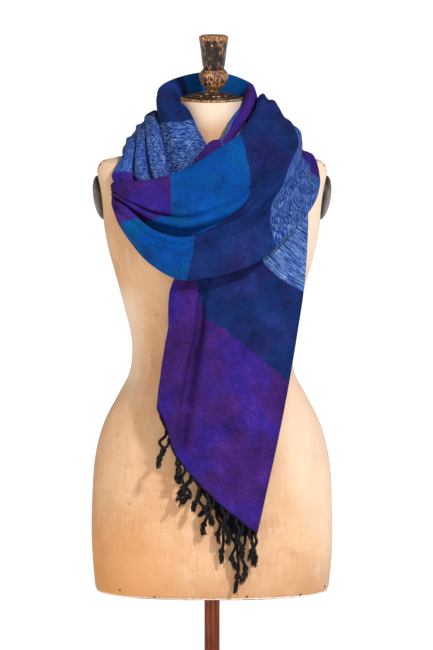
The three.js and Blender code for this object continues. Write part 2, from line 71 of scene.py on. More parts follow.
# The ring: off the left shoulder, back over it, behind the neck, over the right shoulder,
# across the chest and folded in at the left. A row is a section, from the edge nearest the
# neck to the outer edge.
RING = table(
    "upperX upperY upperZ lowerX lowerY lowerZ",
    (-56, -99, 838, -130, -86, 838),  # left end, tucked behind the chest loop
    (-62, -90, 862, -148, -72, 858),
    (-72, -73, 900, -143, -64, 875),
    (-80, -45, 934, -132, -40, 887),
    (-85, 0, 950, -130, -6, 892),  # left shoulder
    (-80, 50, 946, -132, 68, 874),
    (-50, 94, 950, -94, 110, 806),
    (0, 110, 953, 2, 132, 770),  # middle of the back
    (50, 98, 956, 98, 118, 798),
    (74, 52, 958, 138, 76, 850),
    (72, 26, 968, 143, 38, 881),
    (69.5, -5, 973, 152, -14, 884),  # right shoulder
    (67, -24, 965, 160, -56, 860),
    (63, -40, 955, 153, -95, 831),
    (46, -72, 930, 121, -138, 787),
    (25, -90, 913, 63, -160, 740),
    (0, -100, 898, 0, -167, 720),  # middle of the chest
    (-33, -106, 879, -48, -162, 715),
    (-78, -107, 861, -93, -143, 740),
    (-114, -103, 856, -123, -122, 770),
    (-137, -94, 855, -137, -102, 792),
    (-147, -80, 851, -142, -87, 804),  # left turn
    (-141, -66, 851, -138, -82, 806),
)

# Folds across the ring. at: how far each lies from the upper edge to the lower one. out: how
# far it stands off the straight line between them. The values are for the stations RING_AT.
RING_AT = (1, 4, 7, 11, 14, 16, 18, 20, 22)
RING_FOLDS = table(
    "fold at out",
    ("inner hem", (0.05, 0.04, 0.05, 0.05, 0.05, 0.06, 0.05, 0.06, 0.06),
     (-3, -5, -6, -4, -6, -8, -6, -3, -2)),
    ("lip", (0, 0, 0, 0, 0, 0, 0, 0, 0), (0, 0, 0, 0, 0, 0, 0, 0, 0)),
    ("upper edge", (0.07, 0.07, 0.05, 0.02, 0.07, 0.07, 0.07, 0.06, 0.06), (6, 3, 9, 9, 12, 13, 10, 5, 2)),
    ("upper dip", (0.16, 0.15, 0.11, 0.1, 0.15, 0.15, 0.14, 0.12, 0.12), (9, 6, 6, 7, 15, 17, 13, 6, 3)),
    ("upper roll", (0.24, 0.23, 0.17, 0.17, 0.28, 0.29, 0.24, 0.17, 0.17),
     (7, 6, 14, 13, 21, 25, 18, 7, 3)),
    ("upper foot", (0.31, 0.31, 0.26, 0.3, 0.4, 0.46, 0.39, 0.23, 0.22), (2, 2, 16, 10, 20, 26, 19, 7, 3)),
    ("slit", (0.38, 0.38, 0.33, 0.41, 0.44, 0.495, 0.42, 0.27, 0.26), (6, 4, 8, 7, 19, 18, 10, 3, 2)),
    ("thin roll", (0.46, 0.45, 0.39, 0.49, 0.47, 0.545, 0.49, 0.33, 0.32), (9, 7, 12, 9, 20, 22, 15, 6, 3)),
    ("deep fold", (0.54, 0.53, 0.45, 0.56, 0.51, 0.6, 0.585, 0.4, 0.38), (6, 4, 9, 8, 18, 8, -3, 0, 1)),
    ("lower roll", (0.62, 0.61, 0.57, 0.68, 0.6, 0.65, 0.655, 0.48, 0.46), (2, 2, 18, 9, 20, 19, 10, 6, 3)),
    ("notch", (0.69, 0.69, 0.67, 0.79, 0.68, 0.7, 0.72, 0.57, 0.56), (7, 4, 10, -7, 7, 16, 14, 6, 3)),
    ("drape top", (0.77, 0.76, 0.74, 0.86, 0.76, 0.77, 0.79, 0.67, 0.66), (9, 6, 14, -5, 17, 20, 17, 7, 3)),
    ("drape dip", (0.85, 0.85, 0.83, 0.91, 0.84, 0.84, 0.86, 0.78, 0.77), (7, 3, 11, -6, 8, 19, 17, 6, 3)),
    ("drape", (0.93, 0.93, 0.93, 0.96, 0.93, 0.92, 0.93, 0.9, 0.9), (5, 3, 9, -2, 13, 15, 12, 4, 2)),
    ("lower edge", (1, 1, 1, 1, 1, 1, 1, 1, 1), (0, 0, 0, 0, 0, 0, 0, 0, 0)),
    ("outer hem", (0.96, 0.97, 0.95, 0.97, 0.95, 0.95, 0.94, 0.94, 0.95),
     (-4, -2, -6, -2, -6, -6, -6, -4, -2)),
)

# The collar: the inner wrap, from the left of the chest round the neck and back to its front.
COLLAR = table(
    "upperX upperY upperZ lowerX lowerY lowerZ",
    (-12, -70, 884, -39, -80, 855),  # left end, behind the chest loop
    (-8, -65, 904, -55, -77, 869),
    (-22, -60, 932, -68, -62, 906),
    (-36, -47, 957, -78, -38, 941),
    (-54, -14, 964, -82, 2, 955),  # left of the neck
    (-46, 36, 961, -74, 44, 955),
    (0, 60, 961, 0, 94, 956),  # behind the neck
    (44, 38, 957, 64, 44, 957),
    (49.5, -14, 965, 62, -5, 966),  # right of the neck
    (39, -50, 956, 56, -38, 952),
    (26, -63, 938, 46, -62, 934),
    (15, -74, 918, 31, -76, 918),
    (0, -82, 915, 15, -85, 901),
    (-13, -87, 903, 0, -90, 886),
    (-28, -90, 882, -13, -94, 872),  # right end, laid over the left one
)
# At the left its outer hem runs further on under the shoulder's folds than the solid's does, so
# that no linen shows between the two.
COLLAR_AT = (0, 2, 4, 6, 8, 10, 12, 14)
COLLAR_FOLDS = table(
    "fold at out",
    ("inner hem", (0.06, 0.06, 0, 0, 0, 0.06, 0.08, 0.08), (-2, -3, -8, -18, -8, -4, -2, -2)),
    ("inner edge", (0, 0, 0, 0, 0, 0, 0, 0), (0, 0, 0, 0, 0, 0, 0, 0)),
    ("inner face", (0.12, 0.14, 0.12, 0.04, 0.06, 0.14, 0.18, 0.2), (4, 6, 12, 22, 12, 5, 3, 3)),
    ("crest", (0.32, 0.32, 0.42, 0.34, 0.38, 0.38, 0.38, 0.38), (6, 8, 21, 41, 20, 8, 5, 5)),
    ("outer face", (0.56, 0.56, 0.66, 0.66, 0.68, 0.64, 0.6, 0.6), (7, 10, 20, 38, 20, 10, 5, 5)),
    ("foot", (0.82, 0.8, 0.88, 0.9, 0.92, 0.86, 0.84, 0.84), (5, 7, 11, 20, 10, 7, 3, 3)),
    ("outer edge", (1, 1, 1, 1, 1, 1, 1, 1), (0, 0, 0, 0, 0, 0, 0, 0)),
    ("outer hem", (1.2, 1.2, 1, 1, 1, 0.94, 0.92, 0.92), (-6, -7, -9, -12, -9, -4, -2, -2)),
)

# The hanging end: from the right shoulder down under the loop, left edge and right edge.
TAIL = table(
    "upperX upperY upperZ lowerX lowerY lowerZ",
    (70, -6, 919, 127, -8, 895),
    (54, -90, 880, 136, -66, 868),
    (8, -126, 808, 143, -96, 806),
    (-57, -141, 709, 138, -114, 709),  # where it comes out under the loop
    (-66, -141, 631, 127, -119, 631),
    (-79, -139, 553, 114, -123, 553),
    (-86, -136, 475, 99, -127, 475),
    (-90, -133, 397, 82, -128, 397),
    (-92, -131, 319, 65, -128, 319),
)
TAIL_OUT = 3  # the station that comes out, and from which the stations are evenly spaced
TAIL_STEP = 78  # that spacing
TAIL_AT = (0, 2, 3, 5, 8)
# Its two layers are one cloth folded at the left. hem: the height that each fold hangs to.
TAIL_FOLDS = table(
    "fold at out hem",
    ("rear edge", (0.9, 0.94, 0.98, 0.98, 0.98), (-3.4, -3.4, -6, -7, -7), 334),
    ("rear right", (0.7, 0.76, 0.76, 0.8, 0.8), (-2, 1, -3, -7, -8), 333),
    ("rear panel", (0.45, 0.5, 0.52, 0.56, 0.58), (-1.4, 6, 2, -6, -9), 370),
    ("rear left", (0.15, 0.15, 0.16, 0.2, 0.26), (-2, 0, -2, -7, -9), 449),
    ("left fold", (0, 0, 0, 0, 0), (0, 0, -1, -3, -4), 526),
    ("roll", (0.08, 0.07, 0.09, 0.08, 0.08), (2.4, 5, 9, 7, 4), 505),
    ("roll side", (0.16, 0.14, 0.17, 0.15, 0.15), (2.6, 5.5, 8.5, 7, 4.5), 466),
    ("valley", (0.22, 0.22, 0.235, 0.23, 0.24), (2.6, 6, 4, 1, 0.5), 443),
    ("panel left", (0.3, 0.3, 0.31, 0.33, 0.34), (2.8, 8, 8, 4, 3), 423),
    ("panel", (0.5, 0.52, 0.54, 0.55, 0.55), (3, 11, 11, 6, 4), 389),
    ("panel right", (0.78, 0.8, 0.8, 0.8, 0.8), (2.6, 7, 8, 6, 4), 357),
    ("right turn", (0.94, 0.94, 0.95, 0.95, 0.95), (1.6, 2, 3, 3, 3), 341),
    ("right edge", (1, 1, 1, 1, 1), (0, 0, 0, 0, 0), 336),
)
LEFT_FOLD = list(TAIL_FOLDS["fold"]).index("left fold")

# Where each colour band gives way to the next: the station, at these shares across the cloth.
# The bands are woven across the width, and run slantwise where a fold has slipped along.
RING_BANDS_AT = (0, 0.15, 0.25, 0.35, 0.42, 0.46, 0.5, 0.54, 0.6, 0.68, 0.76, 0.88, 1)
RING_BANDS = (
    (-0.5, -0.2, 0, 0.25, 0.42, 0.55, 0.75, 0.95, 1.15, 1.25, 1.3, 1.4, 1.45),
    (3.7, 3.9, 4.0, 4.1, 4.25, 4.3, 4.4, 4.45, 4.5, 4.55, 4.6, 4.7, 4.8),
    (5.3, 5.3, 5.35, 5.4, 5.45, 5.5, 5.5, 5.6, 5.8, 6.0, 6.3, 6.4, 6.5),
    (6.8, 6.8, 6.9, 7.0, 7.1, 7.15, 7.2, 7.5, 7.8, 8.2, 8.6, 8.7, 8.8),
    (9, 9, 9, 9, 9, 9, 9.1, 9.6, 10.9, 11.7, 12.2, 12.35, 12.6),
    (11.1, 11.1, 11.05, 11.05, 11.1, 11.1, 11.2, 11.6, 13.6, 14.2, 14.45, 14.5, 14.5),
    (14.2, 14.35, 14.5, 14.63, 14.7, 14.75, 15.2, 16.3, 16.55, 16.55, 16.56, 16.7, 16.85),
    (17.65, 17.55, 17.45, 17.35, 17.4, 17.9, 18.25, 18.45, 18.62, 18.9, 19.2, 19.5, 19.9),
)
RING_COLOURS = "purple denim navy teal purple denim navy teal purple"
COLLAR_BANDS_AT = (0, 0.2, 0.35, 0.5, 0.75, 1)
COLLAR_BANDS = (
    (2.4, 2.4, 2.45, 2.5, 2.75, 2.9),
    (5.3, 5.3, 5.35, 5.4, 5.4, 5.4),
    (7.0, 7.1, 7.2, 7.2, 7.3, 7.3),
    (8.6, 8.8, 10.3, 11.65, 11.85, 11.85),
    (11.3, 11.35, 11.45, 11.66, 11.86, 11.86),
)
COLLAR_COLOURS = "denim navy teal purple denim purple"
TAIL_BANDS_AT = (0, 0.15, 0.3, 0.45, 0.5, 0.55, 0.64, 0.73, 0.82, 0.89, 1)
TAIL_BANDS = (
    (2.5, 2.2, 1.8, 1.3, 1.2, 1.4, 1.85, 2.3, 2.72, 2.93, 3.2),
    (4.0, 3.6, 3.0, 2.2, 2.3, 2.8, 3.66, 3.97, 4.3, 4.53, 4.95),
    (7.1, 7.0, 6.2, 7.0, 9, 9, 9, 9, 9, 9, 9),
)
# the last band is painted shade: the rear layer's end by its hem, in shadow
TAIL_COLOURS = "denim navy purple black"

# Creases laid into the cloth: from and to, in stations and shares across; bow is how far
# the line swings off straight, width its half width, depth how far it sinks (less than 0) or lifts.
CREASE = "s0 t0 s1 t1 bow width depth"
LOOP_CREASES = table(
    CREASE,
    (11.4, 0.2, 14.0, 0.22, 4, 8, -2.2),  # off the right shoulder, over the navy
    (11.6, 0.4, 14.6, 0.36, -5, 7, -2.0),
    (12.4, 0.29, 15.3, 0.27, 3, 9, 1.8),
    (13.2, 0.16, 15.8, 0.2, 5, 7, -1.4),
    (14.6, 0.31, 17.3, 0.34, -7, 12, -2.0),  # long soft dips across the teal
    (15.3, 0.22, 18.6, 0.25, 5, 10, 1.5),
    (16.4, 0.15, 19.6, 0.17, 3, 6, -1.3),
    (17.3, 0.29, 20.2, 0.2, 4, 7, -1.6),
    (17.8, 0.13, 20.6, 0.14, -2, 5, 1.2),
    (18.4, 0.24, 20.8, 0.3, 2, 6, -1.2),
    (11.0, 0.63, 13.6, 0.6, 3, 6, -2.0),  # down the outer folds at the right
    (11.9, 0.71, 14.4, 0.66, -4, 7, 1.8),
    (12.6, 0.86, 14.7, 0.8, 4, 6, -2.0),
    (12.8, 0.63, 15.2, 0.61, -3, 6, 1.4),
    (14.2, 0.86, 16.4, 0.83, 6, 9, -2.4),  # the hanging drape
    (14.9, 0.76, 17.4, 0.79, -6, 8, 1.8),
    (15.8, 0.92, 18.0, 0.88, 4, 8, -1.8),
    (16.3, 0.69, 18.5, 0.71, 3, 6, -1.6),
    (17.2, 0.84, 19.8, 0.8, -4, 9, 1.8),
    (18.0, 0.92, 20.6, 0.86, 3, 6, -1.6),
    (18.8, 0.74, 21.0, 0.66, 3, 5, -1.4),
    (15.6, 0.522, 20.8, 0.528, 0, 6.5, -9.0),  # the deep fold under the teal roll
    (17.2, 0.41, 20.8, 0.408, 0, 4, -4.0),  # a narrower one along the foot of the upper roll
    (16.4, 0.61, 20.4, 0.59, 2, 7, 2.4),
    (14.0, 0.585, 16.4, 0.55, 0, 6, -2.5),
    (20.2, 0.408, 24.5, 0.408, 0, 6, 3.2),  # the folds even out round the left turn
    (20.2, 0.525, 24.5, 0.525, 0, 8, 5.0),
)
LEFT_CREASES = table(
    CREASE,
    (0.1, 0.33, 3.4, 0.36, 3, 5, -5.5),
    (0.3, 0.47, 2.2, 0.5, -3, 7, 1.6),
    (0.0, 0.64, 3.6, 0.6, -4, 5, -6.0),
    (1.4, 0.78, 4.1, 0.74, 3, 7, 1.5),
    (1.8, 0.2, 4.2, 0.16, 4, 6, -1.8),
    (0.4, 0.86, 1.9, 0.82, 2, 5, -1.6),
    (2.4, 0.45, 4.3, 0.42, 2, 6, -2.4),
)
BACK_CREASES = table(
    CREASE,
    (4.6, 0.3, 7.2, 0.34, 6, 9, -2.6),
    (5.2, 0.62, 8.0, 0.66, -7, 10, -2.4),
    (5.0, 0.16, 6.8, 0.14, 3, 7, 1.6),
    (5.9, 0.5, 8.6, 0.47, 5, 8, 2.0),
    (6.4, 0.78, 9.0, 0.8, 6, 9, -2.2),
    (4.7, 0.74, 6.2, 0.82, -4, 7, -1.8),
    (7.4, 0.22, 9.8, 0.27, -5, 8, -2.2),
    (8.2, 0.58, 10.2, 0.62, 4, 7, -2.2),
    (8.5, 0.38, 10.3, 0.34, 3, 7, 1.7),
    (8.8, 0.84, 10.2, 0.76, -3, 6, -1.8),
)
COLLAR_CREASES = table(
    CREASE,
    (0.5, 0.44, 3.4, 0.4, 3, 6, -1.8),
    (1.4, 0.66, 4.3, 0.62, -4, 7, 1.7),
    (2.6, 0.3, 5.4, 0.36, 4, 7, -1.8),
    (3.6, 0.74, 6.2, 0.68, 4, 7, -2.0),
    (5.2, 0.5, 7.4, 0.46, -4, 8, 1.8),
    (6.2, 0.34, 8.6, 0.3, 3, 6, -1.8),
    (7.6, 0.64, 10.4, 0.6, -3, 5, -1.5),
    (9.4, 0.44, 12.2, 0.5, 2, 4, 1.0),
)
TAIL_CREASES = table(
    CREASE,
    (2.6, 0.548, 6.9, 0.552, 2, 9, 4.2),  # the roll down its left side
    (2.2, 0.612, 7.0, 0.602, 1, 5.5, -5.4),  # the valley beside it
    (3.2, 0.648, 6.2, 0.645, 3, 8, 3.4),
    (3.1, 0.71, 4.6, 0.7, 4, 9, -2.2),  # soft folds out from under the loop
    (3.0, 0.79, 4.3, 0.8, -4, 9, 1.8),
    (3.2, 0.87, 5.0, 0.85, 4, 9, -2.0),
    (4.6, 0.76, 6.5, 0.74, -6, 12, -1.8),
    (5.6, 0.69, 6.3, 0.64, 3, 6, -2.0),  # slantwise, down to the corner of the hem
    (5.2, 0.86, 7.0, 0.82, 5, 10, 1.6),
    (6.2, 0.78, 7.2, 0.84, -3, 7, -1.6),
    (5.9, 0.93, 7.5, 0.9, 2, 6, -1.6),
    (3.6, 0.94, 5.6, 0.95, 2, 6, 1.4),
    (3.4, 0.3, 6.0, 0.26, 5, 10, -2.2),  # the rear layer
    (4.2, 0.16, 7.0, 0.14, -5, 9, 2.0),
    (5.0, 0.05, 7.6, 0.07, 3, 7, -1.8),
)

# Tassels: how far along its hem each hangs, its length, and how far its end swings
# to the right and out from the form.
FRONT_TASSELS = table(
    "along length swing lean",
    (0.02, 46, -17, 3),
    (0.11, 34, 3, 4),
    (0.18, 42, -8, 5),
    (0.25, 36, -22, 3),
    (0.32, 40, -9, 5),
    (0.4, 46, 3, 4),
    (0.48, 42, -6, 5),
    (0.57, 42, 8, 4),
    (0.65, 50, -3, 5),
    (0.74, 44, 6, 5),
    (0.82, 56, -4, 4),
    (0.9, 50, 4, 5),
    (0.98, 44, -2, 4),
)
REAR_TASSELS = table(
    "along length swing lean",
    (0.03, 50, 5, 2),
    (0.1, 74, -6, 3),
    (0.18, 92, -3, 2),
    (0.27, 60, 8, 3),
    (0.36, 62, -4, 2),
    (0.46, 48, 6, 3),
    (0.56, 52, -7, 2),
    (0.66, 42, 4, 3),
    (0.76, 46, -9, 2),
    (0.86, 40, -4, 3),
    (0.95, 42, -11, 2),
)

# The form: height, half width, depth to the front and back, and squareness of each section.
TORSO = table(
    "z halfWidth front back squareness",
    (230, 172, 108, 100, 2.3),
    (238, 176, 112, 104, 2.3),
    (300, 180.5, 113, 112, 2.3),
    (370, 180, 113, 117, 2.3),  # hips
    (430, 175, 112, 120, 2.25),
    (480, 162.5, 109, 118, 2.2),
    (524, 140.5, 101, 106, 2.2),
    (556, 124, 93, 92, 2.2),
    (588, 119.3, 88, 82, 2.2),  # waist
    (620, 122.5, 92, 80, 2.2),
    (655, 131, 104, 84, 2.2),
    (693, 141, 118, 90, 2.25),
    (744, 155, 127, 97, 2.4),  # bust
    (788, 162.5, 115, 98, 2.6),
    (830, 168, 94, 92, 2.9),
    (856, 171.5, 70, 76, 3),
    (868, 170.5, 56, 63, 3),  # shoulders
    (875.5, 164.5, 50, 57, 3),
    (879.5, 149, 49, 55, 2.8),
    (884.5, 128, 51, 55, 2.5),
    (893, 103, 53, 55, 2.3),
    (904, 80, 54, 55, 2.1),
    (914, 64, 54, 54, 2),
    (928, 54, 52, 52, 2),
    (945, 49.5, 49.5, 49.5, 2),
    (968, 47, 47, 47, 2),
)
PLATE = {"x": 158, "z": 822, "half_height": 36, "half_depth": 30, "dome": 20, "tilt": 0.17, "room": 1}


# ---- Curves ----
def slopes(knots, values):
    """The slope at each knot, from its two neighbours."""
    gaps = np.diff(knots)
    step = np.diff(values, axis=-1) / gaps
    inner = (step[..., :-1] * gaps[1:] + step[..., 1:] * gaps[:-1]) / (gaps[1:] + gaps[:-1])
    return np.concatenate([step[..., :1], inner, step[..., -1:]], axis=-1)


def curve(knots, values, at):
    """A smooth line through values at knots, read at each at. values is one row, or one per at."""
    knots = np.asarray(knots, float)
    values = np.broadcast_to(np.asarray(values, float), (len(at), len(knots)))
    slope = slopes(knots, values)
    x = np.clip(at, knots[0], knots[-1])
    i = np.clip(np.searchsorted(knots, x, side="right") - 1, 0, len(knots) - 2)
    row = np.arange(len(at))
    h = knots[i + 1] - knots[i]
    u = (x - knots[i]) / h
    return (
        (1 + 2 * u) * (1 - u) ** 2 * values[row, i]
        + u * (1 - u) ** 2 * h * slope[row, i]
        + u * u * (3 - 2 * u) * values[row, i + 1]
        + u * u * (u - 1) * h * slope[row, i + 1]
    )


def unit(vectors):
    return vectors / np.linalg.norm(vectors, axis=-1, keepdims=True)


def smooth(low, high, x):
    u = np.clip((x - low) / (high - low), 0, 1)
    return u * u * (3 - 2 * u)


# ---- Cloth surfaces ----
class Cloth:
    """A stretch of folded cloth: place(s, t), s in stations along it, t from 0 to 1 across it."""

    def __init__(self, sections, keys, folds, bands_at, bands):
        self.sections = sections
        self.keys = np.array(keys, float)
        self.folds = folds
        self.stations = np.arange(len(sections["upperX"]), dtype=float)
        self.bands_at = bands_at
        self.bands = bands
        self.knots = self.fold_knots()
        ends = self.edges(self.stations)
        middle = (ends[0] + ends[1]) / 2
        self.step = np.linalg.norm(np.diff(middle, axis=0), axis=1).mean()

    def fold_knots(self):
        """The mean distance run from fold to fold, as knots from 0 to 1 across the cloth."""
        upper, lower = self.edges(self.keys)
        width = np.linalg.norm(lower - upper, axis=1)
        run = np.hypot(np.diff(self.folds["at"], axis=0) * width, np.diff(self.folds["out"], axis=0))
        self.width = run.sum(axis=0).mean()
        total = np.concatenate([[0], np.cumsum(run.sum(axis=1))])
        return total / total[-1]

    def edges(self, s):
        """The upper and the lower end of the section at each s."""
        lines = [curve(self.stations, self.sections[name], s) for name in self.sections]
        return np.stack(lines[:3], axis=1), np.stack(lines[3:], axis=1)

    def place(self, s, t):
        last = self.stations[-1]
        s = np.clip(s, 0, last)
        upper, lower = self.edges(s)
        ahead = sum(self.edges(np.minimum(s + 0.02, last)))
        behind = sum(self.edges(np.maximum(s - 0.02, 0)))
        across = lower - upper
        outward = unit(np.cross(ahead - behind, across))
        at = np.stack([curve(self.keys, row, s) for row in self.folds["at"]], axis=1)
        out = np.stack([curve(self.keys, row, s) for row in self.folds["out"]], axis=1)
        share = curve(self.knots, at, t)[:, None]
        proud = curve(self.knots, out, t)[:, None]
        return upper + across * share + outward * proud

    def normal(self, s, t):
        along = self.place(s + 0.02, t) - self.place(s - 0.02, t)
        across = self.place(s, t + 0.003) - self.place(s, t - 0.003)
        return unit(np.cross(along, across))

    def weft(self, s, t):
        """Distance along the scarf in bands, counted from the first change of colour."""
        lines = [np.interp(t, self.bands_at, line) for line in self.bands]
        pace = self.step / BAND
        place = (s - lines[0]) * pace
        for k, (line, following) in enumerate(zip(lines, lines[1:])):
            place = np.where(s > line, k + (s - line) / (following - line), place)
        return np.where(s > lines[-1], len(lines) - 1 + (s - lines[-1]) * pace, place)

    def creased(self, s, t, creases):
        """How far the creases and the wool's own unevenness lift each place, in millimetres."""
        x = s * self.step
        y = t * self.width
        lift = np.zeros_like(s)
        for s0, t0, s1, t1, bow, width, depth in zip(*creases.values()):
            start = np.array([s0 * self.step, t0 * self.width])
            line = np.array([s1 * self.step, t1 * self.width]) - start
            length = np.linalg.norm(line)
            share = ((x - start[0]) * line[0] + (y - start[1]) * line[1]) / length**2
            side = ((x - start[0]) * -line[1] + (y - start[1]) * line[0]) / length
            off = np.abs(side - bow * 4 * share * (1 - share)) / width
            fade = smooth(0, 0.3, share) * smooth(0, 0.3, 1 - share)
            lift += depth * fade * (np.exp(-(off**2)) - 0.35 * np.exp(-((off - 1.9) ** 2)))
        rng = np.random.default_rng(11)
        for wave, height in ((95, 0.7), (60, 0.5), (38, 0.35), (23, 0.2)):
            for _ in range(3):
                turn, phase = rng.uniform(0, 2 * math.pi, 2)
                way = x * math.cos(turn) * 0.6 + y * math.sin(turn)
                lift += height / 2 * np.sin(2 * math.pi * way / wave + phase)
        return lift * smooth(0, 0.04, t) * smooth(0, 0.04, 1 - t)


ring = Cloth(RING, RING_AT, RING_FOLDS, RING_BANDS_AT, RING_BANDS)
collar = Cloth(COLLAR, COLLAR_AT, COLLAR_FOLDS, COLLAR_BANDS_AT, COLLAR_BANDS)
tail = Cloth(TAIL, TAIL_AT, TAIL_FOLDS, TAIL_BANDS_AT, TAIL_BANDS)


def hem_station(t, below=0.0):
    """The station that the hanging end's hem lies at, t across it, or a distance below that."""
    height = curve(tail.knots, TAIL_FOLDS["hem"], t) - below
    return TAIL_OUT + (TAIL["upperZ"][TAIL_OUT] - height) / TAIL_STEP


def overlapping_hem(t):
    """The hem of the shell: over the parting and the head of the fringe, a little uneven."""
    uneven = 0.6 * np.sin(41 * t) + 0.4 * np.sin(97 * t + 1)
    return hem_station(t, HEM_SEAM + OVERLAP + uneven)


# ---- Materials ----
def srgb(red, green, blue):
    """A colour on a 0 to 255 screen scale as the linear colour that a shader takes."""
    def linear(value):
        c = value / 255
        return c / 12.92 if c <= 0.04045 else ((c + 0.055) / 1.055) ** 2.4

    return (linear(red), linear(green), linear(blue), 1)


class Field:
    """A socket that carries a value over the surface, so that shader maths is written as maths."""

    def __init__(self, finish, socket):
        self.finish = finish
        self.socket = socket

    def maths(self, operation, *values):
        return self.finish.node("ShaderNodeMath", {"operation": operation}, dict(enumerate(values)))

    def __add__(self, other):
        return self.maths("ADD", self, other)

    def __radd__(self, other):
        return self.maths("ADD", other, self)

    def __sub__(self, other):
        return self.maths("SUBTRACT", self, other)

    def __rsub__(self, other):
        return self.maths("SUBTRACT", other, self)

    def __mul__(self, other):
        return self.maths("MULTIPLY", self, other)

    def __rmul__(self, other):
        return self.maths("MULTIPLY", other, self)

    def __truediv__(self, other):
        return self.maths("DIVIDE", self, other)

    def sine(self):
        return self.maths("SINE", self)

    def least(self, other):
        return self.maths("MINIMUM", self, other)

    def most(self, other):
        return self.maths("MAXIMUM", self, other)

    def between(self, low, high):
        """0 below low, 1 above high, and a soft step from one to the other."""
        return self.finish.node(
            "ShaderNodeMapRange",
            {"interpolation_type": "SMOOTHSTEP"},
            {"Value": self, "From Min": low, "From Max": high},
        )


class Finish:
    """A material being made. node() adds any node; look() sets what the surface shader takes."""

    def __init__(self, name):
        self.material = bpy.data.materials.new(name)
        self.material.use_nodes = True
        self.tree = self.material.node_tree
        self.shader = self.tree.nodes["Principled BSDF"]

    def node(self, kind, settings=None, inputs=None, output=0):
        node = self.tree.nodes.new(kind)
        for name, value in (settings or {}).items():
            setattr(node, name, value)
        for name, value in (inputs or {}).items():
            self.feed(node.inputs[name], value)
        return Field(self, node.outputs[output])

    def feed(self, socket, value):
        if isinstance(value, Field):
            self.tree.links.new(value.socket, socket)
        else:
            socket.default_value = value

    def place(self):
        """The place on the object, in metres."""
        return self.node("ShaderNodeTexCoord", output="Object")

    def weave(self):
        """The place on the cloth in metres: along the scarf, and across it."""
        uv = self.node("ShaderNodeUVMap", {"uv_map": "weave"})
        return self.split(uv)

    def split(self, vector):
        node = self.tree.nodes.new("ShaderNodeSeparateXYZ")
        self.feed(node.inputs[0], vector)
        return [Field(self, socket) for socket in node.outputs]

    def vector(self, x=0.0, y=0.0, z=0.0):
        return self.node("ShaderNodeCombineXYZ", inputs={0: x, 1: y, 2: z})

    def noise(self, vector, scale, detail=2.0, roughness=0.5, distortion=0.0):
        return self.node(
            "ShaderNodeTexNoise",
            inputs={
                "Vector": vector,
                "Scale": scale,
                "Detail": detail,
                "Roughness": roughness,
                "Distortion": distortion,
            },
        )

    def stretched(self, vector, x, y, z):
        """The same place, drawn out by a factor each way."""
        return self.node("ShaderNodeMapping", inputs={"Vector": vector, "Scale": (x, y, z)})

    def mix(self, first, second, share):
        """From the first colour to the second, by share."""
        return self.node(
            "ShaderNodeMix",
            {"data_type": "RGBA"},
            {0: share, 6: first, 7: second},
            output=2,
        )

    def bump(self, height, distance, strength=1.0):
        inputs = {"Height": height, "Distance": distance, "Strength": strength}
        return self.node("ShaderNodeBump", inputs=inputs)

    def look(self, **values):
        """Sets the shader's inputs: their names in small letters, with _ for a space."""
        names = {socket.name.lower().replace(" ", "_"): socket for socket in self.shader.inputs}
        for name, value in values.items():
            self.feed(names[name], value)
        return self.material


# Each wool's shade in its hollows, its own, where the nap catches the light, and the second
# dye that clouds it.
WOOLS = {
    "purple": (srgb(28, 14, 52), srgb(54, 25, 94), srgb(84, 44, 140), srgb(40, 28, 124)),
    "teal": (srgb(0, 38, 84), srgb(0, 64, 138), srgb(0, 90, 170), srgb(0, 74, 122)),
    "navy": (srgb(6, 14, 42), srgb(14, 36, 88), srgb(32, 56, 124), srgb(28, 26, 78)),
    "denim": (srgb(4, 20, 62), srgb(8, 46, 124), srgb(18, 72, 158), srgb(6, 42, 134)),
    # painted shade: very dark cloth for the rear layer's end by the hem, where it lies in shadow
    "black": (srgb(5, 5, 8), srgb(12, 11, 20), srgb(26, 24, 40), srgb(20, 10, 34)),
}
MARL = srgb(132, 170, 214)  # the pale threads of the denim bands


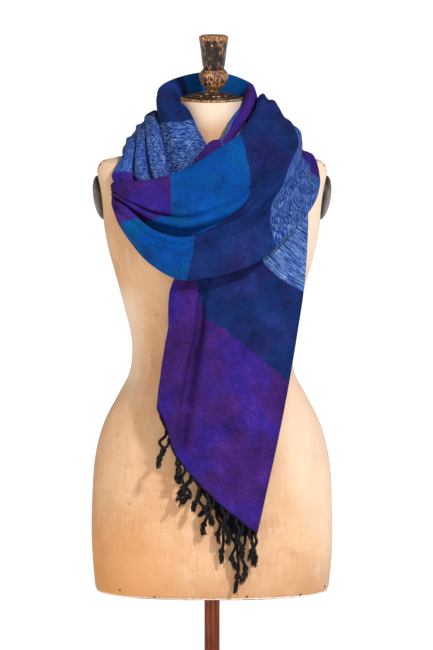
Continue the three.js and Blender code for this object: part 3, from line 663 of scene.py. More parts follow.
def wool(name, colours, ribs, dash):
    """Felted wool in bands of colour along its length, the denim ones of marled yarn.

    ribs is how strongly the marl's pale picks stand in rows, from 0 to 1, and dash how long a
    pale thread shows before it dips, in millimetres.
    """
    finish = Finish(name)
    place = finish.place()
    along, across, _ = finish.weave()
    cloud = finish.noise(place, 22, 3, 0.6)
    dye = finish.noise(place, 13, 3, 0.55, 0.8)
    heather = finish.noise(place, 260, 3, 0.7)
    fibre = finish.noise(place, 950, 2, 0.6)

    thread = (along + finish.noise(place, 45, 1) * 0.0012) * 1000
    wisp = finish.noise(finish.vector(thread / 0.95, across * (1000 / dash), 0.0), 1.0, 2, 0.6)
    slub = finish.noise(finish.vector(thread / 1.5, across * (400 / dash), 5.0), 1.0, 2, 0.6)
    patch = finish.noise(place, 55, 2, 0.5)
    tone = cloud * 1.3 + heather * 0.8 + wisp * 0.7 + fibre * 0.3 - 1.05

    picks = (thread * (2 * math.pi / 2.5)).sine()
    pale = wisp.between(0.5, 0.68) * 0.85 + slub.between(0.52, 0.68) * 0.35
    pale = pale * (0.2 + heather * 0.9 + patch.between(0.4, 0.62) * 0.5)
    pale = pale + picks.between(0.1, 0.95) * slub.between(0.34, 0.56) * (0.4 + heather) * ribs
    dark = (1.0 - wisp).between(0.5, 0.66) * 0.8 + (0.0 - picks).between(0.3, 1.0) * ribs * 0.6

    def shaded(colour):
        low, own, high, second = WOOLS[colour]
        body = finish.mix(own, second, dye.between(0.46, 0.64) * 0.75)
        body = finish.mix(low, body, tone.between(0.0, 0.55))
        return finish.mix(body, high, tone.between(0.5, 1.1))

    def marled():
        ground = finish.mix(shaded("denim"), WOOLS["denim"][0], dark.least(1.0))
        return finish.mix(ground, MARL, pale.least(1.0) * 0.85)

    made = {colour: marled() if colour == "denim" else shaded(colour) for colour in set(colours)}
    edge = along * (1000 / BAND) + (heather - 0.5) * 0.03 + (wisp - 0.5) * 0.03
    colour = made[colours[0]]
    for k, following in enumerate(colours[1:]):
        colour = finish.mix(colour, made[following], edge.between(k - 0.008, k + 0.008))

    nap = heather * 0.9 + fibre * 0.8 + wisp * 0.4
    return finish.look(
        base_color=colour,
        roughness=0.82 + heather * 0.15,
        normal=finish.bump(nap, 0.001, 0.6),
        specular_ior_level=0.1,
    )


def fringe_wool():
    """Black wool cord, faintly glossy where the plies turn."""
    finish = Finish("fringe_wool")
    place = finish.place()
    hairs = finish.noise(place, 1400, 3, 0.7)
    patch = finish.noise(place, 160, 2)
    dusty = (hairs * 0.7 + patch * 0.6).between(0.5, 1.0)
    return finish.look(
        base_color=finish.mix(srgb(1, 1, 1), srgb(26, 21, 20), dusty),
        roughness=0.34 + hairs * 0.3,
        normal=finish.bump(hairs, 0.0006, 0.7),
        specular_ior_level=0.2,
    )


def linen():
    """Old linen canvas: a fine weave, mottled by age and with a few rust spots, with painted light on its
    right side and painted shade low on its left.
    """
    finish = Finish("linen_canvas")
    place = finish.place()
    along, up, _ = finish.weave()
    warp = (along * (1000 * 2 * math.pi / 1.3)).sine()
    weft = (up * (1000 * 2 * math.pi / 1.15)).sine()
    slub_up = finish.noise(finish.vector(along * 620, up * 16, 0.0), 1.0, 2)
    slub_across = finish.noise(finish.vector(along * 16, up * 620, 4.0), 1.0, 2)
    threads = slub_up * 0.6 + slub_across * 0.4
    stain = finish.noise(place, 7, 5, 0.62, 0.4)
    foxing = finish.noise(place, 24, 4, 0.65)
    grime = finish.noise(finish.stretched(place, 1.0, 1.0, 0.45), 46, 3, 0.6)
    speck = finish.noise(place, 150, 2, 0.5)

    # Painted light and shade, and paler patches: how far beside the form's middle and how high, in metres.
    side, _, height = finish.split(place)
    # paler up the neck: painted light, and cleaner linen there
    neck = (height - 0.92).between(0.0, 0.035) * 0.9
    # painted light: the right side paler and less orange where the light falls on it, more so on the breast
    painted_light_from = 0.15 - (height - 0.25).between(0.0, 0.22) * 0.08  # a wider share higher up
    right_side_painted_light = (side - painted_light_from).between(0.0, 0.06) * (0.55 + (height - 0.66).between(0.0, 0.1) * 0.3)
    # paler over the top of the left shoulder
    shoulder = (-0.13 - side).between(0.0, 0.025) * (height - 0.815).between(0.0, 0.05) * 0.35
    # paler at the left of the waist, beside the hanging end
    waist = (height - 0.5).between(0.0, 0.06) * (0.71 - height).between(0.0, 0.05)
    waist = waist * (-0.09 - side).between(0.0, 0.035) * 0.7
    # painted shade: darker and more orange low on the left side, away from the light
    left_side_painted_shade = (-0.02 - side).between(0.0, 0.1) * (0.4 - height).between(0.0, 0.12) * 0.65

    ground = finish.mix(srgb(204, 154, 112), srgb(218, 176, 136), stain.between(0.35, 0.62))
    ground = finish.mix(ground, srgb(190, 134, 92), foxing.between(0.52, 0.74) * 0.5)
    ground = finish.mix(ground, srgb(222, 190, 160), (1.0 - grime).between(0.5, 0.72) * 0.45)
    ground = finish.mix(ground, srgb(176, 120, 72), (0.29 - height).between(0.0, 0.07) * 0.5)
    ground = finish.mix(ground, srgb(150, 98, 60), threads.between(0.53, 0.72) * 0.4)
    ground = finish.mix(ground, srgb(228, 200, 172), (1.0 - threads).between(0.54, 0.7) * 0.35)
    ground = finish.mix(ground, srgb(118, 74, 42), speck.between(0.72, 0.78) * 0.7)
    # the painted shade low on the left
    ground = finish.mix(ground, srgb(212, 144, 78), left_side_painted_shade)
    # the painted light on the right, the paler neck and the paler patches, all in one pale colour
    ground = finish.mix(ground, srgb(238, 215, 188), neck.most(right_side_painted_light).most(shoulder).most(waist))
    return finish.look(
        base_color=ground,
        roughness=0.8 + threads * 0.15,
        normal=finish.bump(warp * weft * 0.3 + threads, 0.0007, 0.5),
        specular_ior_level=0.2,
        sheen_weight=0.08,
    )


def worn_paint(name, wear_low, gloss, bare, bare_light, metal):
    """Black paint over another material, rubbed off in patches and along the edges."""
    finish = Finish(name)
    place = finish.place()
    patches = finish.noise(finish.stretched(place, 1.0, 1.0, 0.6), 120, 5, 0.68)
    scuffs = finish.noise(finish.stretched(place, 1.0, 1.0, 0.25), 420, 3, 0.6)
    edge = finish.node("ShaderNodeAttribute", {"attribute_name": "edge"}, output="Fac")
    wear = (patches + scuffs * 0.18 + edge * 0.42).between(wear_low, wear_low + 0.07)
    under = finish.mix(bare, bare_light, scuffs.between(0.4, 0.65))
    paint = finish.mix(srgb(3, 3, 4), srgb(58, 37, 24), patches.between(0.38, 0.6))
    return finish.look(
        base_color=finish.mix(paint, under, wear),
        roughness=gloss + wear * 0.16 + scuffs * 0.12,
        metallic=wear * metal,
        normal=finish.bump(scuffs * 0.4 - wear * 0.6, 0.0004, 0.6),
        specular_ior_level=0.3,
        coat_weight=(1.0 - wear) * 0.1,
        coat_roughness=0.12,
    )


def dulled_paint():
    """Paint on an arm plate: a painted grey-brown reflection over its dome, and dark round its rim."""
    finish = Finish("dulled_paint")
    patches = finish.noise(finish.place(), 90, 4, 0.6)
    rim = finish.node("ShaderNodeAttribute", {"attribute_name": "edge"}, output="Fac")
    # painted reflection: grey-brown over the dome, for glossy paint mirroring the bright room
    painted_reflection = finish.mix(srgb(116, 102, 90), srgb(78, 66, 56), patches.between(0.4, 0.62))
    return finish.look(
        base_color=finish.mix(painted_reflection, srgb(22, 15, 12), rim),
        roughness=0.3 + patches * 0.2,
        normal=finish.bump(patches, 0.0003, 0.4),
        specular_ior_level=0.35,
    )


def varnished_wood():
    """Reddish brown varnished wood with its grain running up the pole."""
    finish = Finish("varnished_wood")
    place = finish.place()
    grain = finish.noise(finish.stretched(place, 1.0, 1.0, 0.06), 260, 4, 0.6, 0.6)
    figure = finish.noise(finish.stretched(place, 1.0, 1.0, 0.2), 40, 3)
    scuffs = finish.noise(place, 300, 2)
    colour = finish.mix(srgb(92, 32, 6), srgb(156, 72, 22), grain.between(0.35, 0.65))
    colour = finish.mix(colour, srgb(118, 46, 12), figure.between(0.4, 0.7) * 0.6)
    return finish.look(
        base_color=colour,
        roughness=0.5 + scuffs * 0.15,
        normal=finish.bump(grain, 0.0003, 0.4),
        specular_ior_level=0.3,
        coat_weight=0.08,
        coat_roughness=0.25,
    )


def rusted_iron():
    """Small tack heads, brown with rust."""
    finish = Finish("rusted_iron")
    pits = finish.noise(finish.place(), 900, 3)
    return finish.look(
        base_color=finish.mix(srgb(48, 30, 20), srgb(104, 62, 34), pits.between(0.4, 0.6)),
        roughness=0.55 + pits * 0.2,
        metallic=0.4,
        normal=finish.bump(pits, 0.0003, 0.6),
    )


def frayed_canvas():
    """The pale threads of the canvas where its edge is turned under."""
    finish = Finish("frayed_canvas")
    threads = finish.noise(finish.stretched(finish.place(), 1.0, 1.0, 0.3), 700, 3)
    return finish.look(
        base_color=finish.mix(srgb(206, 182, 148), srgb(242, 228, 204), threads.between(0.38, 0.6)),
        roughness=0.9,
        normal=finish.bump(threads, 0.0006, 0.6),
        specular_ior_level=0.15,
    )


def studio_floor():
    """White studio paper, with a faint glow so that it stays white all round the form."""
    finish = Finish("studio_floor")
    grain = finish.noise(finish.place(), 30, 2)
    return finish.look(
        base_color=finish.mix(srgb(249, 251, 253), srgb(251, 253, 255), grain),
        emission_color=(0.97, 1, 1, 1),
        emission_strength=0.28,
        roughness=0.9,
        specular_ior_level=0.1,
    )


# ---- Pieces ----
def piece(name, mesh, material, replaces=()):
    """An object of the finished part: it rides on the root and has one material."""
    mesh.materials.append(material)
    mesh.polygons.foreach_set("use_smooth", [True] * len(mesh.polygons))
    thing = bpy.data.objects.new(name, mesh)
    bpy.context.scene.collection.objects.link(thing)
    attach(thing, "root")
    if replaces:
        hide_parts(*replaces)
    return thing


def surface_grid(columns, rows):
    """A flat grid and, for each of its vertices, the shares from 0 to 1 along and across it."""
    bm = bmesh.new()
    bmesh.ops.create_grid(bm, x_segments=columns, y_segments=rows, size=1)
    flat = np.array([vert.co[:2] for vert in bm.verts])
    return bm, (flat[:, 0] + 1) / 2, (flat[:, 1] + 1) / 2


def settle(bm, points):
    """Moves the mesh's vertices to points given in millimetres."""
    for vert, point in zip(bm.verts, points * MM):
        vert.co = point


def finish_mesh(bm, name, uv=None):
    """The bmesh as a mesh, with a UV map of the given place for each vertex, in metres."""
    mesh = bpy.data.meshes.new(name)
    bm.to_mesh(mesh)
    bm.free()
    if uv is not None:
        corner = np.empty(len(mesh.loops), int)
        mesh.loops.foreach_get("vertex_index", corner)
        layer = mesh.uv_layers.new(name="weave")
        layer.data.foreach_set("uv", uv[corner].astype(np.float32).ravel())
    return mesh


def cloth_piece(node, cloth, start, stop, columns, rows, creases, material):
    """A thin shell on one stretch's solid, with its creases. start and stop may follow t."""
    bm, along, across = surface_grid(columns, rows)
    first = start(across) if callable(start) else start
    last = stop(across) if callable(stop) else stop
    s = first + (last - first) * along
    points = cloth.place(s, across)
    lift = cloth.creased(s, across, creases)
    settle(bm, points + cloth.normal(s, across) * lift[:, None])
    uv = np.stack([cloth.weft(s, across) * BAND * MM, across * cloth.width * MM], axis=1)
    shell = piece(node + "_wool", finish_mesh(bm, node, uv), material, [node])
    wall = shell.modifiers.new("thickness", "SOLIDIFY")
    wall.thickness = WOOL * MM
    wall.offset = 0
    return shell


def turned_piece(name, node, outline, material, steps=96, off=0):
    """A body turned from an outline of (radius, height, edge wear), off beside the form's axis."""
    bm = bmesh.new()
    verts = [bm.verts.new((radius * MM, 0, z * MM)) for radius, z, _ in outline]
    edges = [bm.edges.new(pair) for pair in zip(verts, verts[1:])]
    bmesh.ops.spin(
        bm,
        geom=verts + edges,
        cent=(0, 0, 0),
        axis=(0, 0, 1),
        angle=2 * math.pi,
        steps=steps,
        use_merge=True,
    )
    bmesh.ops.remove_doubles(bm, verts=bm.verts, dist=0.00001)
    bmesh.ops.recalc_face_normals(bm, faces=bm.faces)
    edge = bm.verts.layers.float.new("edge")
    rings = np.array([(radius, z) for radius, z, _ in outline])
    for vert in bm.verts:
        here = np.array([math.hypot(vert.co.x, vert.co.y), vert.co.z]) / MM
        vert[edge] = outline[int(np.argmin(np.abs(rings - here).sum(axis=1)))][2]
    bmesh.ops.translate(bm, verts=bm.verts, vec=(off * MM, 0, 0))
    mesh = finish_mesh(bm, name)
    mesh.set_sharp_from_angle(angle=SHARP)
    return piece(name, mesh, material, [node])


def arc(centre, radius, start, stop, count, wear):
    """Points on part of a circle in an outline; the angles are in degrees from outward."""
    return [
        (
            centre[0] + radius * math.cos(math.radians(start + (stop - start) * k / count)),
            centre[1] + radius * math.sin(math.radians(start + (stop - start) * k / count)),
            wear,
        )
        for k in range(count + 1)
    ]


# ---- The form ----
def torso_place(share_up, share_round):
    """Points on the torso: up its rows, and round it from the form's left side."""
    rows = np.arange(len(TORSO["z"]))
    at = share_up * rows[-1]
    line = {name: curve(rows, values, at) for name, values in TORSO.items()}
    angle = 2 * math.pi * share_round
    c, s = np.cos(angle), np.sin(angle)
    power = 2 / line["squareness"]
    depth = np.where(s < 0, line["front"], line["back"])
    x = line["halfWidth"] * np.sign(c) * np.abs(c) ** power
    y = depth * np.sign(s) * np.abs(s) ** power
    return np.stack([x, y, line["z"]], axis=1)


def oval_solid(side, rings):
    """A closed body of stacked ovals on an arm plate's seat."""
    bm = bmesh.new()
    loops = []
    for half_depth, half_height, out in rings:
        made = bmesh.ops.create_circle(bm, segments=PLATE_STEPS, radius=1, cap_ends=False)["verts"]
        bmesh.ops.scale(bm, verts=made, vec=(half_depth * MM, half_height * MM, 1))
        bmesh.ops.translate(bm, verts=made, vec=(0, 0, out * MM))
        loops.append(made)
    for lower, upper in zip(loops, loops[1:]):
        between = {edge for vert in lower + upper for edge in vert.link_edges}
        rims = [
            edge
            for edge in between
            if all(vert in lower for vert in edge.verts) or all(vert in upper for vert in edge.verts)
        ]
        bmesh.ops.bridge_loops(bm, edges=rims)
    for loop in (loops[0], loops[-1]):
        bm.faces.new(loop)
    bmesh.ops.recalc_face_normals(bm, faces=bm.faces)
    facing_out = Matrix(((0, 0, side), (side, 0, 0), (0, 1, 0))).to_4x4()
    seat = Matrix.Translation((side * PLATE["x"] * MM, 0, PLATE["z"] * MM))
    turn = seat @ Matrix.Rotation(side * PLATE["tilt"], 4, "Y") @ facing_out
    bmesh.ops.transform(bm, matrix=turn, verts=bm.verts)
    return bm


def linen_torso(material):
    """The torso in its linen, with the seams down its sides and front and the arm recesses cut."""
    bm, around, up = surface_grid(176, 190)
    points = torso_place(up, around)
    seams = np.zeros(len(points))
    for seam in (0.0, 0.5, 0.75, 1.0):
        seams += np.exp(-(((around - seam) * 900 / 2.6) ** 2))
    rng = np.random.default_rng(5)
    dents = np.zeros(len(points))
    for wave in (170, 110, 70, 48):
        turn, first, second = rng.uniform(0, 2 * math.pi, 3)
        way = points[:, 0] * math.cos(turn) + points[:, 2] * math.sin(turn)
        swell = np.sin(2 * math.pi * way / wave + first) * np.sin(points[:, 1] / wave + second)
        dents += wave / 420 * swell
    lift = (0.7 * seams + dents - 0.4) * smooth(0, 0.02, up) * smooth(0, 0.25, 1 - up)
    outward = unit(points * (1, 1, 0))
    settle(bm, points + outward * lift[:, None])
    uv = np.stack([around * 0.95, points[:, 2] * MM], axis=1)
    mesh = finish_mesh(bm, "linen_torso", uv)
    bm = bmesh.new()
    bm.from_mesh(mesh)
    bmesh.ops.remove_doubles(bm, verts=bm.verts, dist=0.00005)
    rims = [edge for edge in bm.edges if edge.is_boundary]
    bmesh.ops.holes_fill(bm, edges=rims, sides=0)
    bmesh.ops.recalc_face_normals(bm, faces=bm.faces)
    bm.to_mesh(mesh)
    bm.free()
    room = PLATE["room"]
    oval = (PLATE["half_depth"] + room, PLATE["half_height"] + room)
    for side in (-1, 1):
        recess = oval_solid(side, ((*oval, -0.3), (*oval, 50)))
        cutter = bpy.data.objects.new("recess", finish_mesh(recess, "recess"))
        bpy.context.scene.collection.objects.link(cutter)
        body = bpy.data.objects.new("body", mesh)
        bpy.context.scene.collection.objects.link(body)
        cut = body.modifiers.new("cut", "BOOLEAN")
        cut.object = cutter
        cut.operation = "DIFFERENCE"
        cut.solver = "EXACT"
        mesh = bpy.data.meshes.new_from_object(body.evaluated_get(bpy.context.evaluated_depsgraph_get()))
        bpy.data.objects.remove(body)
        bpy.data.objects.remove(cutter)
    mesh.materials.clear()
    torso = piece("linen_torso", mesh, material, ["form_torso"])
    mesh.set_sharp_from_angle(angle=math.radians(50))
    return torso


def arm_plate(name, side, material):
    """A domed oval plate with a fine step inside its rim."""
    depth, height, dome = PLATE["half_depth"], PLATE["half_height"], PLATE["dome"]
    rings = [(0.985, 0.0), (1.0, 0.03), (1.0, 0.24), (0.985, 0.3), (0.955, 0.33), (0.94, 0.42)]
    for k in range(1, 9):
        angle = math.pi / 2 * k / 9
        rings.append((0.94 * math.cos(angle), 0.42 + 0.58 * math.sin(angle)))
    bm = oval_solid(side, [(size * depth, size * height, out * dome) for size, out in rings])
    edge = bm.verts.layers.float.new("edge")  # 1 over the rim and its step, and 0 from the eighth ring
    for place, vert in enumerate(bm.verts):
        ring_from_rim = place // PLATE_STEPS
        vert[edge] = min(1.0, max(0.0, (8.0 - ring_from_rim) / 2.5))
    mesh = finish_mesh(bm, name)
    mesh.set_sharp_from_angle(angle=SHARP)
    return piece(name + "_paint", mesh, material, [name])


def tacks(material):
    """Tack heads that hold the canvas at the foot of the torso and over its shoulders."""
    bm = bmesh.new()
    # Shares up the torso, and round it from the form's left side: the foot, then the shoulders.
    spots = [(0.03 + 0.006 * (k % 3), 0.04 + 0.075 * k + 0.012 * (k % 2)) for k in range(7)]
    spots += [(0.04, 0.6136), (0.024, 0.6767), (0.032, 0.79), (0.028, 0.88), (0.04, 0.9535)]
    spots += [(0.66, 0.53), (0.655, 0.975), (0.69, 0.51), (0.7, 0.985)]
    for up, around in spots:
        near_up = np.array([up, up, up + 0.004])
        near_around = np.array([around, around + 0.004, around])
        here, beside, above = torso_place(near_up, near_around)
        outward = Vector(unit(np.cross(beside - here, above - here)))
        made = bmesh.ops.create_uvsphere(bm, u_segments=10, v_segments=6, radius=1.7 * MM)["verts"]
        bmesh.ops.scale(bm, verts=made, vec=(1, 1, 0.45))
        turn = Matrix.Translation(Vector(here * MM)) @ outward.to_track_quat("Z", "Y").to_matrix().to_4x4()
        bmesh.ops.transform(bm, matrix=turn, verts=made)
    return piece("canvas_tacks", finish_mesh(bm, "canvas_tacks"), material)


def bottom_hem(material):
    """The ragged edge of the canvas, turned under the foot of the torso."""
    bm, around, down = surface_grid(220, 4)
    rng = np.random.default_rng(3)
    ragged = np.zeros(len(around))
    for wave in (7, 13, 29, 53):
        ragged += np.sin(2 * math.pi * around * wave + rng.uniform(0, 2 * math.pi)) / 4
    foot = torso_place(np.full(len(around), 0.0), around)
    outward = unit(foot * (1, 1, 0))
    inset = np.interp(down, (0, 0.5, 1), (-0.6, -0.9, 5.0)) + ragged * 0.5
    drop = np.interp(down, (0, 0.4, 0.7, 1), (1.0, -1.2, -2.2, -2.0)) - ragged * 0.9 * down
    points = foot - outward * inset[:, None]
    points[:, 2] = foot[:, 2] + drop
    settle(bm, points)
    bmesh.ops.remove_doubles(bm, verts=bm.verts, dist=0.00005)
    hem = piece("canvas_hem", finish_mesh(bm, "canvas_hem"), material)
    wall = hem.modifiers.new("thickness", "SOLIDIFY")
    wall.thickness = 0.5 * MM
    wall.offset = 0
    return hem


# ---- Fringe ----
# A tassel's radii: of a ply, of the circle the plies lie on, of the knot's cord and of a loose
# end. twist is the length of one turn, and knot_at the share of its length at which the knot is.
TASSEL = {"plies": 3, "ply": 1.35, "ply_out": 1.25, "twist": 5.5}
TASSEL |= {"knot": 1.7, "knot_at": 0.66, "hairs": 20, "hair": 1.0}


def strands(name, paths):
    """A mesh of round strands: each path is its points in millimetres and a radius at each."""
    line = bpy.data.curves.new(name, "CURVE")
    line.dimensions = "3D"
    line.bevel_depth = MM
    line.bevel_resolution = 1
    line.use_fill_caps = True
    line.resolution_u = 1
    for points, radii in paths:
        spline = line.splines.new("POLY")
        spline.points.add(len(points) - 1)
        packed = np.concatenate([points * MM, np.ones((len(points), 1))], axis=1)
        spline.points.foreach_set("co", packed.astype(np.float32).ravel())
        spline.points.foreach_set("radius", np.asarray(radii, np.float32))
    holder = bpy.data.objects.new(name, line)
    bpy.context.scene.collection.objects.link(holder)
    mesh = bpy.data.meshes.new_from_object(holder.evaluated_get(bpy.context.evaluated_depsgraph_get()))
    bpy.data.objects.remove(holder)
    bpy.data.curves.remove(line)
    return mesh


def tassel(root, length, swing, lean, rng):
    """One tassel: a plied cord with a kink or two, a knot and a frayed tuft."""
    down = np.linspace(-0.03, 1, 60)  # the share of its length
    sway = curve((-0.03, 0.14, 0.38, 0.6, 0.75, 0.9, 1), (0, 0.1, 0.62, 0.6, 0.74, 0.94, 1), down)
    kink = rng.choice((-1, 1), 2) * rng.uniform(1.6, 4.6, 2)
    wave = kink[0] * np.sin(down * rng.uniform(6, 10) + rng.uniform(0, 6)) * smooth(0.05, 0.3, down)
    spine = np.stack(
        [
            root[0] + swing * sway + wave,
            root[1] - lean * sway + 0.4 * kink[1] * np.sin(down * 9) * smooth(0.05, 0.3, down),
            root[2] - length * down,
        ],
        axis=1,
    )
    run = unit(np.gradient(spine, axis=0))
    side = unit(np.cross((0, 1, 0), run))
    front = np.cross(run, side)
    paths = []
    knot_at = TASSEL["knot_at"]
    bound = down <= knot_at + 0.02
    turns = length / TASSEL["twist"]
    plump = 1 + 1.1 * np.exp(-(((down - knot_at) / 0.045) ** 2))
    for ply in range(TASSEL["plies"]):
        angle = 2 * math.pi * (ply / TASSEL["plies"] + turns * down)
        out = TASSEL["ply_out"] * plump
        points = spine + side * (out * np.cos(angle))[:, None] + front * (out * np.sin(angle))[:, None]
        paths.append((points[bound], (TASSEL["ply"] * plump)[bound]))
    lap = np.linspace(0, 2 * math.pi, 17)
    k = int(np.argmin(np.abs(down - knot_at)))
    for tip in (-0.5, 0.55):
        loop = spine[k] + side[k] * (3.1 * np.cos(lap))[:, None] + front[k] * (2.8 * np.sin(lap))[:, None]
        loop = loop + run[k] * (1.3 * tip + 0.9 * np.sin(lap + tip))[:, None]
        paths.append((loop, np.full(len(lap), TASSEL["knot"])))
    loose = down >= knot_at - 0.02
    share = (down[loose] - knot_at) / (1 - knot_at)
    for _ in range(TASSEL["hairs"]):
        angle = rng.uniform(0, 2 * math.pi)
        spread = rng.uniform(0.6, 5.2)
        curl = rng.uniform(-1.8, 1.8)
        reach = rng.uniform(0.7, 1.0)
        away = spread * np.sin(np.clip(share, 0, 1) * 1.9) * np.cos(0.6 * share)
        points = spine[loose]
        points = points + side[loose] * (away * math.cos(angle) + curl * np.sin(5 * share))[:, None]
        points = points + front[loose] * (away * math.sin(angle))[:, None]
        keep = share <= reach
        thin = TASSEL["hair"] * (1 - 0.5 * np.clip(share[keep] / reach, 0, 1))
        paths.append((points[keep][::2], thin[::2]))
    return paths


def fringe(node, start, stop, rows, material, seed):
    """The fringe under one layer's hem: a narrow woven strip and its tassels."""
    rng = np.random.default_rng(seed)

    def below(t, distance):
        s = hem_station(t, HEM_SEAM + distance)
        return tail.place(s, t) - tail.normal(s, t)

    edge = np.linspace(start, stop, 160)
    paths = []
    for line in range(3):
        ply = below(edge, np.full(len(edge), 0.4 + 1.4 * line))
        paths.append((ply, np.full(len(edge), 0.8)))
    at = start + (stop - start) * rows["along"]
    roots = below(at, np.full(len(at), 4.0))
    for root, length, swing, lean in zip(roots, rows["length"], rows["swing"], rows["lean"]):
        paths += tassel(root, length, swing, lean, rng)
    mesh = strands(node, paths)
    mesh.materials.clear()
    return piece(node + "_cords", mesh, material, [node])


# ---- Camera, light and floor ----
def set_camera():
    """The camera stands square in front, seven degrees above the form's middle."""
    rise, distance, view_height = math.radians(7), 15.0, 0.975
    middle = Vector((0.00675, 0, 0.6285))
    data = bpy.data.cameras.new("camera")
    data.sensor_fit = "VERTICAL"
    data.sensor_height = 36
    data.lens = 36 * distance / view_height
    data.clip_end = 100
    camera = bpy.data.objects.new("camera", data)
    camera.location = middle + Vector((0, -math.cos(rise), math.sin(rise))) * distance
    camera.rotation_euler = (math.pi / 2 - rise, 0, 0)
    bpy.context.scene.collection.objects.link(camera)
    bpy.context.scene.camera = camera


def set_light():
    """A key from the upper right in front, a weak light from beside the camera, a broad warm fill
    from the left, and even light from all round. Each lamp has its strength, its spread in
    degrees, its colour and the way its light travels.
    """
    world = bpy.data.worlds.new("studio")
    world.use_nodes = True
    world.node_tree.nodes["Background"].inputs["Color"].default_value = (1, 0.86, 0.7, 1)
    world.node_tree.nodes["Background"].inputs["Strength"].default_value = 0.3
    bpy.context.scene.world = world
    for name, energy, spread, colour, travel in (
        ("key", 2.75, 4.5, (0.95, 1, 1.12), (-0.6, 0.92, -0.92)),
        ("front", 0.5, 22, (1, 1, 1), (-0.02, 1.0, -0.1)),
        ("fill", 1.0, 50, (1.12, 0.97, 0.8), (1.0, 0.8, -0.1)),
    ):
        sun = bpy.data.lights.new(name, "SUN")
        sun.energy = energy
        sun.angle = math.radians(spread)
        sun.color = colour
        lamp = bpy.data.objects.new(name, sun)
        lamp.rotation_euler = Vector(travel).to_track_quat("-Z", "Y").to_euler()
        bpy.context.scene.collection.objects.link(lamp)
    bpy.context.scene.view_settings.view_transform = "Standard"


def set_floor():
    bm = bmesh.new()
    bmesh.ops.create_grid(bm, x_segments=2, y_segments=2, size=40)
    mesh = finish_mesh(bm, "studio_floor")
    mesh.materials.append(studio_floor())
    floor = bpy.data.objects.new("studio_floor", mesh)
    bpy.context.scene.collection.objects.link(floor)


# ---- The whole ----
set_camera()
set_light()
set_floor()

ring_wool = wool("ring_wool", RING_COLOURS.split(), 0.1, 4.5)
collar_wool = wool("collar_wool", COLLAR_COLOURS.split(), 0.1, 4.5)
tail_wool = wool("tail_wool", TAIL_COLOURS.split(), 0.75, 12)
cloth_piece(
    "scarf_collar", collar, 0, len(COLLAR["upperX"]) - 1, 230, 90,
    COLLAR_CREASES, collar_wool,
)
cloth_piece(
    "scarf_left_shoulder", ring, 0, LOOP_LEFT, 100, 110,
    LEFT_CREASES, ring_wool,
)
cloth_piece(
    "scarf_back_wrap", ring, LOOP_LEFT + SEAM, LOOP_RIGHT - SEAM, 170, 150,
    BACK_CREASES, ring_wool,
)
cloth_piece(
    "scarf_front_loop", ring, LOOP_RIGHT, len(RING["upperX"]) - 1, 270, 176,
    LOOP_CREASES, ring_wool,
)
cloth_piece(
    "scarf_tail", tail, 0, overlapping_hem, 230, 200,
    TAIL_CREASES, tail_wool,
)

fringe_black = fringe_wool()
left_fold = tail.knots[LEFT_FOLD]
fringe("scarf_fringe_front", left_fold + 0.06, 1.0, FRONT_TASSELS, fringe_black, 21)
fringe("scarf_fringe_rear", 0.0, left_fold - 0.03, REAR_TASSELS, fringe_black, 22)

canvas = linen()
black_paint = worn_paint("black_paint", 0.68, 0.22, srgb(88, 50, 28), srgb(204, 152, 104), 0.2)
# the arm plates' paint, with a painted reflection over each dome
plate_reflection_paint = dulled_paint()
cap_paint = worn_paint("cap_paint", 0.86, 0.3, srgb(104, 70, 38), srgb(210, 168, 118), 0.3)
wood = varnished_wood()
linen_torso(canvas)
bottom_hem(frayed_canvas())
tacks(rusted_iron())
arm_plate("form_arm_plate_left", -1, plate_reflection_paint)
arm_plate("form_arm_plate_right", 1, plate_reflection_paint)

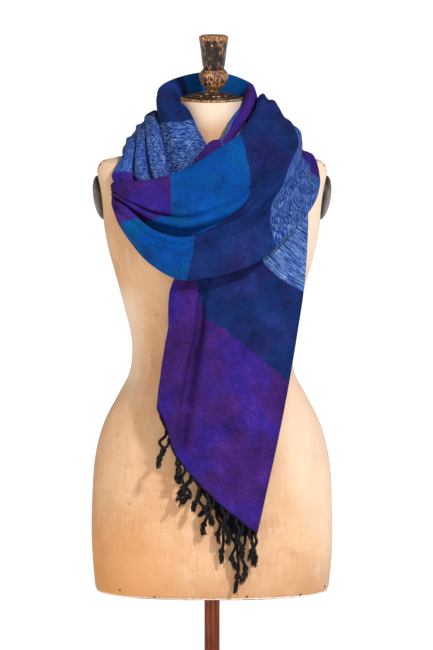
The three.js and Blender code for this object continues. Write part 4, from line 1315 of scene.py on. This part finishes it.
CAP_OUTLINE = [
    (0, 968.3, 0),
    (45.2, 968.3, 0),
    *arc((45.9, 969.9), 1.6, -90, 90, 8, 1),
    (44.6, 971.6, 0.6),
    (44.0, 972.4, 0.2),
    (41.2, 972.9, 0.1),
    *arc((40.2, 973.7), 0.7, -20, 100, 4, 0.4),
    (38.6, 974.3, 0.0),
    (33.4, 974.7, 0.1),
    *arc((31.4, 975.7), 1.1, -30, 100, 5, 0.6),
    (29, 976.9, 0.1),
    (22.4, 977.5, 0.0),
    *arc((20, 978.3), 1.1, -20, 100, 5, 0.5),
    (17.4, 979.4, 0.1),
    (12.2, 980.2, 0.6),
    (11.4, 981.2, 1),
    (10.8, 981.7, 1),
    (0, 981.7, 0),
]
turned_piece("neck_cap", "form_neck_cap", CAP_OUTLINE, cap_paint)

knob_profile = (
    (982, 9.5, 1.2),
    (984, 11, 1.2),
    (988, 16, 0.7),
    (994, 19.5, 0.45),
    (1002, 21.8, 0.35),
    (1008, 21, 0.4),
    (1013, 17.5, 0.3),
)
heights, radii, wears = (np.array(column, float) for column in zip(*knob_profile))
bulb_z = np.linspace(982, 1013, 26)
bulb = list(zip(curve(heights, radii, bulb_z), bulb_z, np.interp(bulb_z, heights, wears)))
KNOB_OUTLINE = [
    (0, 982, 0),
    *bulb,
    (16.2, 1013.8, 0.1),
    (15.4, 1015.2, 0),
    (15.7, 1016.6, 0.1),
    (16.5, 1018, 0.3),
    (17.2, 1022.5, 0.05),
    (18.0, 1028, 0.0),
    (18.8, 1036, 0.0),
    (19.6, 1043.5, 0.05),
    (20.7, 1051, 0.15),
    (21.8, 1058, 0.4),
    *arc((20.9, 1061.9), 1.4, 0, 80, 5, 0.9),
    (19.8, 1063.6, 0.9),
    *arc((18.3, 1063.6), 1.3, 10, 90, 5, 1.0),
    (9, 1065, 0.3),
    (0, 1065, 0.2),
]
turned_piece("turned_knob", "form_knob", KNOB_OUTLINE, black_paint, off=2.5)


def rounded_disc(radius, node, edge):
    """The outline of a turned disc with a rounded rim, over its node's own height."""
    low, high = (corner.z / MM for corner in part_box(node))
    return [
        (0, low, 0),
        *arc((radius - edge, low + edge), edge, -90, 0, 6, 0.3),
        *arc((radius - edge, high - edge), edge, 0, 90, 6, 0.6),
        (radius - edge - 1, high, 0.1),
        (0, high, 0),
    ]


turned_piece("pole_socket", "form_socket", rounded_disc(16, "form_socket", 1), wood)
turned_piece("pole", "form_pole", rounded_disc(11.5, "form_pole", 0.5), wood, 48)
turned_piece("foot_collar", "form_foot_collar", rounded_disc(24, "form_foot_collar", 4), wood)
turned_piece("round_base", "form_base", rounded_disc(145, "form_base", 6), wood, 144)
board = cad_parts["form_bottom_board"]
board.data.materials.clear()
board.data.materials.append(wood)
